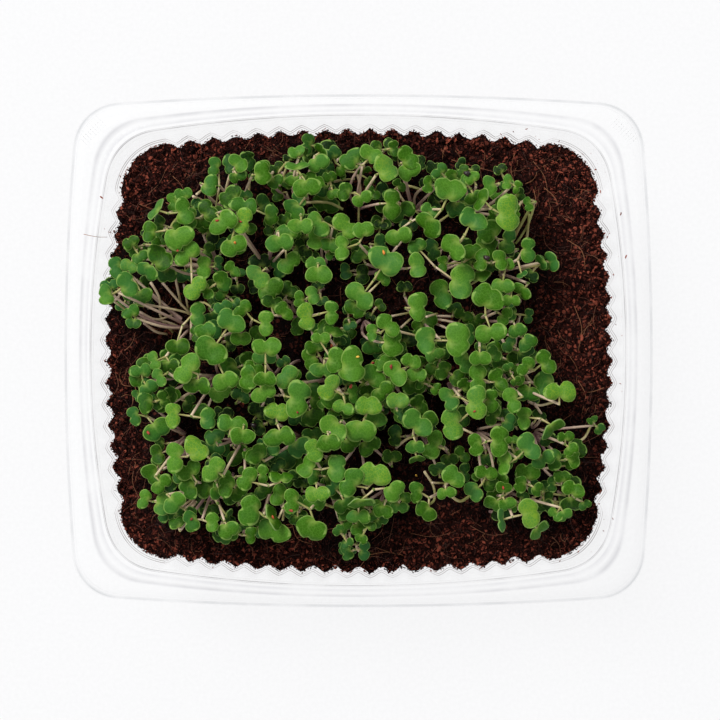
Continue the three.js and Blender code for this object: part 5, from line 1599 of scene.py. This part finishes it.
def grainy_material(name, stops, roughness, grain_width):
    """A dry plant scrap whose colour runs through its tone, with a fine grain."""
    made, tree, spot = material(name)
    tone = node(tree, "ShaderNodeAttribute", {"attribute_name": "tone"}).outputs["Fac"]
    grain = node(
        tree, "ShaderNodeTexNoise", values={"Scale": cells(grain_width), "Detail": 3.0},
        links={"Vector": spot},
    )
    shade = node(tree, "ShaderNodeMath", {"operation": "MULTIPLY_ADD"}, {1: 0.2}, {0: grain, 2: tone})
    stops = [(place, linear(colour)) for place, colour in stops]
    colour = node(tree, "ShaderNodeValToRGB", links={"Fac": shade}, stops=stops)
    bump = node(
        tree, "ShaderNodeBump", values={"Strength": 0.3, "Distance": 0.0002}, links={"Height": grain},
    )
    surface = node(
        tree, "ShaderNodeBsdfPrincipled", values={"Roughness": roughness},
        links={"Base Color": colour, "Normal": bump},
    )
    node(tree, "ShaderNodeOutputMaterial", links={"Surface": surface})
    return made


def paper_material(looks):
    """Matt white paper lit from below, even and without gloss, so that the clear tray shows pale on it."""
    made, tree, spot = material("Matt white paper")
    fibre = node(
        tree, "ShaderNodeTexNoise", values={"Scale": cells(PAPER_FIBRE), "Detail": 2.0},
        links={"Vector": spot},
    )
    tint = node(tree, "ShaderNodeValToRGB", links={"Fac": fibre}, stops=[
        (0.3, linear("f6f6f7")), (0.7, linear("f9f9fa")),
    ])
    paper = node(
        tree, "ShaderNodeBsdfPrincipled",
        values={
            "Roughness": 0.95, "Specular IOR Level": 0.1, "Base Color": linear("464646"),
            "Emission Strength": looks.table,
        },
        links={"Emission Color": tint},
    )
    node(tree, "ShaderNodeOutputMaterial", links={"Surface": paper})
    return made


def resting_height(x, y):
    """How high the topmost leaf, stem or coir lies at a place."""
    best = SOIL_TOP
    for piece in bpy.data.objects:
        if piece.name.startswith(("seedlings_", "coir_bed")):
            hit, place, _, _ = piece.ray_cast(Vector((x, y, 90)) * MM, Vector((0, 0, -1)))
            if hit:
                best = max(best, place.z / MM)
    return best


class BuildTray(bpy.types.Operator):
    """Build the clear fluted tray with its rolled rim"""

    bl_idname = "microgreens.tray"
    bl_label = "Clear tray"

    def execute(self, context):
        looks = context.scene.tray_looks
        rings = tray_rings()
        piece = shaped_grid("tray_shell", rings.shape[1], rings.shape[0] - 1, placed_on(rings))
        finished(piece, "SOLIDIFY", thickness=looks.sheet, offset=-1)
        piece.data.materials.append(clear_material(looks))
        settle(piece, "clear_plastic", "tray")
        return {"FINISHED"}


class BuildGrips(bpy.types.Operator):
    """Raise the fine ribs on the two far corners of the rim"""

    bl_idname = "microgreens.grips"
    bl_label = "Grip ribs"

    def execute(self, context):
        form = tube_form(5, 6)
        stamps = []
        for hand in (-1, 1):
            for rib in range(RIBS):
                shift = (rib - RIBS // 2) * RIB_PITCH
                x, y, z = RIB_MIDDLE
                middle = np.array([hand * (x - shift * RIB_SLANT), y + shift * RIB_SLANT, z])
                out = np.array([hand * RIB_REACH[0], *RIB_REACH[1:]])
                line = [middle - out, middle + np.array([0, 0, RIB_ARCH]), middle + out]
                stamps.append((form, laid_along(form, smoothed(line, 6), RIB_RADIUS, RIB_RADIUS), 0.5))
        piece = stamped("grip_ribs", stamps, [bpy.data.materials["Clear vacuum-formed plastic"]])
        settle(piece, "clear_plastic")
        return {"FINISHED"}


class BuildCoir(bpy.types.Operator):
    """Fill the tray with coir, ragged along the flutes"""

    bl_idname = "microgreens.coir"
    bl_label = "Coir"

    def execute(self, context):
        rings = soil_rings()
        piece = shaped_grid("coir_bed", rings.shape[1], rings.shape[0] - 1, placed_on(rings))
        flat = points_of(piece.data) / MM
        side = flat[:, 2] < SOIL_TOP - SIDE_DEPTH
        top = flat[:, 2] > SOIL_TOP - SIDE_DEPTH
        # Painted shade: the top of the bed darkens where leaves stand over it.
        mark(piece.data, "shade", canopy_shade(flat[:, :2]) * top)
        mark(piece.data, "tone", SIDE_DRYNESS * side)
        piece.data.materials.append(coir_material(context.scene.coir_looks, "Damp coir", False))
        settle(piece, "coir", "coir")
        return {"FINISHED"}


class BuildLitter(bpy.types.Operator):
    """Scatter crumbs and fibres over the coir and up the wall"""

    bl_idname = "microgreens.litter"
    bl_label = "Crumbs and fibres"

    def execute(self, context):
        looks = context.scene.coir_looks
        draw = draws(LITTER_SEED)
        lumps = [lump_form(seed) for seed in LUMP_SEEDS]
        grains = [grain_form(seed) for seed in GRAIN_SEEDS]
        loose = coir_material(looks, "Loose coir crumbs", True)
        kinds = {"coir_crumbs": (lumps, looks.crumbs), "coir_grains": (grains, looks.grains)}
        for name, (forms, count) in kinds.items():
            stamps = litter_stamps(forms, count, *LITTER[name], draw)
            settle(stamped(name, stamps, [loose], False), "coir")
        settle(stamped("wall_crumbs", wall_crumb_stamps(lumps, draw), [loose], False), "coir")
        husk = grainy_material(
            "Coir fibre", [(0.2, "2c140c"), (0.6, "5f3322"), (0.95, "96623f")], 0.75, FIBRE_GRAIN,
        )
        settle(stamped("coir_fibres", fibre_stamps(looks.fibres, draw), [husk]), "coir")
        return {"FINISHED"}


class BuildSeedlings(bpy.types.Operator):
    """Grow the kale seedlings, one piece for each clump"""

    bl_idname = "microgreens.seedlings"
    bl_label = "Seedlings"

    def execute(self, context):
        looks = context.scene.kale_looks
        forms = {
            "stem": tube_form(6, 10, 2),
            "bud": lump_form(BUD_SEED, 2),
            "blades": [blade_form(looks.blade, *shape) for shape in BLADE_SHAPES],
        }
        for blade in forms["blades"]:
            blade["flat"] = forms["blades"][0]["flat"]
        materials = [leaf_material(looks, False), leaf_material(looks, True), stem_material()]
        clear = Clearance()
        grown, spots = grow_kale(clear)
        used = sorted({seedling["spot"] for seedling in grown})
        grown += low_seedlings(clear, spots, used)
        grown += under_seedlings(clear, spots, used, looks.under)
        for order, spot in enumerate(used):
            draw = draws(PIECE_SEED + spot)
            stamps = []
            for seedling in grown:
                if seedling["spot"] == spot:
                    stamps += seedling_stamps(seedling, forms, looks.stem / MM, draw)
            number = "%02d" % (order + 1)
            settle(stamped("seedlings_" + number, stamps, materials), "kale", "kale_clump_" + number)
        return {"FINISHED"}


class BuildStems(bpy.types.Operator):
    """Add the single stems that show between the leaves"""

    bl_idname = "microgreens.stems"
    bl_label = "Single stems"

    def execute(self, context):
        form = tube_form(6, 12)
        stamps = []
        for start, finish, radius, tone, line in STEMS:
            last = len(line) - 1
            raised = [(x, y, SOIL_TOP + start + (finish - start) * i / last) for i, (x, y) in enumerate(line)]
            laid = laid_along(form, smoothed(raised, 12), 0.74 * radius, 0.64 * radius)
            stamps.append((form, laid, 0.34 + 0.5 * tone))
        settle(stamped("stray_stems", stamps, [bpy.data.materials["Kale stem"]]), "kale")
        return {"FINISHED"}


class BuildScraps(bpy.types.Operator):
    """Lay the seed husks and coloured buds on the leaves"""

    bl_idname = "microgreens.scraps"
    bl_label = "Husks and buds"

    def execute(self, context):
        draw = draws(SCRAP_SEED)
        form = lump_form(SCRAP_FORM_SEED)
        context.view_layer.update()
        stamps = []
        for x, y in HUSKS:
            at = np.array([x, y, resting_height(x, y) + 0.5])
            stamps.append((form, form["points"] * (1.0, 0.9, 0.6) + at, 0.2 + 0.2 * draw()))
        shell = grainy_material(
            "Kale seed husk", [(0.2, "120b0a"), (0.5, "2a1815"), (0.8, "4a2c20")], 0.35, HUSK_GRAIN,
        )
        settle(stamped("seed_husks", stamps, [shell]), "coir")
        stamps = []
        for x, y, tone in SPECKS:
            at = np.array([x, y, resting_height(x, y) + 0.2])
            size = np.array([0.62, 0.4, 0.3]) * (0.8 + 0.5 * draw())
            stamps.append((form, form["points"] * size @ turned(draw) + at, 0.1 + 0.75 * tone))
        dried = grainy_material(
            "Dried bud scale", [(0.2, "7a1f1c"), (0.45, "b0402a"), (0.7, "d97b2c"), (1.0, "e8c24a")], 0.6,
            BUD_GRAIN,
        )
        settle(stamped("bud_scales", stamps, [dried]), "kale")
        return {"FINISHED"}


class BuildStage(bpy.types.Operator):
    """Set the tray on a pale floor under soft light, with the camera above it"""

    bl_idname = "microgreens.stage"
    bl_label = "Floor, light and camera"

    def execute(self, context):
        looks = context.scene.stage_looks
        only()
        bpy.ops.mesh.primitive_plane_add(size=FLOOR_SIZE, location=(0, 0, -FLOOR_GAP))
        floor = context.object
        floor.name = "floor"
        floor.data.materials.append(paper_material(looks))

        world = bpy.data.worlds.new("Soft box")
        context.scene.world = world
        world.use_nodes = True
        world.node_tree.nodes["Background"].inputs["Color"].default_value = linear("fcfcfd")
        world.node_tree.nodes["Background"].inputs["Strength"].default_value = looks.sky

        bpy.ops.object.light_add(type="AREA", location=WINDOW_PLACE)
        window = context.object
        window.name = "soft_window"
        window.data.energy = looks.window
        window.data.size = WINDOW_SIZE
        window.rotation_euler = (-Vector(window.location)).to_track_quat("-Z", "Y").to_euler()

        target = Vector((*CAMERA_CENTRE, RIM_HEIGHT)) * MM
        lean = Vector((math.sin(CAMERA_LEAN[0] * RAD), math.sin(CAMERA_LEAN[1] * RAD), 1))
        lean = lean * CAMERA_DISTANCE * MM
        bpy.ops.object.camera_add(location=target + lean)
        camera = context.object
        back = lean.normalized()
        right = Vector((1, 0, 0)).cross(back).cross(back) * -1
        right.normalize()
        camera.rotation_euler = Matrix((right, back.cross(right), back)).transposed().to_euler()
        camera.data.sensor_width = SENSOR_WIDTH
        camera.data.lens = SENSOR_WIDTH * CAMERA_DISTANCE / CAMERA_FIELD
        camera.data.clip_start = 0.01
        context.scene.camera = camera
        context.scene.view_settings.view_transform = "Standard"
        context.scene.cycles.transparent_max_bounces = 24
        return {"FINISHED"}


BUILDERS = [
    BuildTray, BuildGrips, BuildCoir, BuildLitter, BuildSeedlings, BuildStems, BuildScraps, BuildStage,
]


class MicrogreensPanel(bpy.types.Panel):
    """Buttons that build the potted kale piece by piece"""

    bl_idname = "VIEW3D_PT_microgreens"
    bl_label = "Potted kale microgreens"
    bl_space_type = "VIEW_3D"
    bl_region_type = "UI"
    bl_category = "Microgreens"

    def draw(self, context):
        for name in LOOKS:
            looks = getattr(context.scene, name)
            box = self.layout.box()
            for prop in looks.bl_rna.properties:
                if not prop.is_readonly and prop.identifier != "name":
                    box.prop(looks, prop.identifier)
        for builder in BUILDERS:
            self.layout.operator(builder.bl_idname)


LOOKS = {
    "tray_looks": TrayLooks, "coir_looks": CoirLooks, "kale_looks": KaleLooks, "stage_looks": StageLooks,
}


def register():
    """Makes the settings, operators and panel known."""
    for made in (*LOOKS.values(), *BUILDERS, MicrogreensPanel):
        bpy.utils.register_class(made)
    for name, looks in LOOKS.items():
        setattr(bpy.types.Scene, name, PointerProperty(type=looks))


def unregister():
    """Takes the settings, operators and panel away again."""
    for name in LOOKS:
        delattr(bpy.types.Scene, name)
    for made in (MicrogreensPanel, *reversed(BUILDERS), *LOOKS.values()):
        bpy.utils.unregister_class(made)


def main():
    """Builds every piece in order."""
    register()
    for builder in BUILDERS:
        group, name = builder.bl_idname.split(".")
        getattr(getattr(bpy.ops, group), name)()


if __name__ == "__main__":
    main()
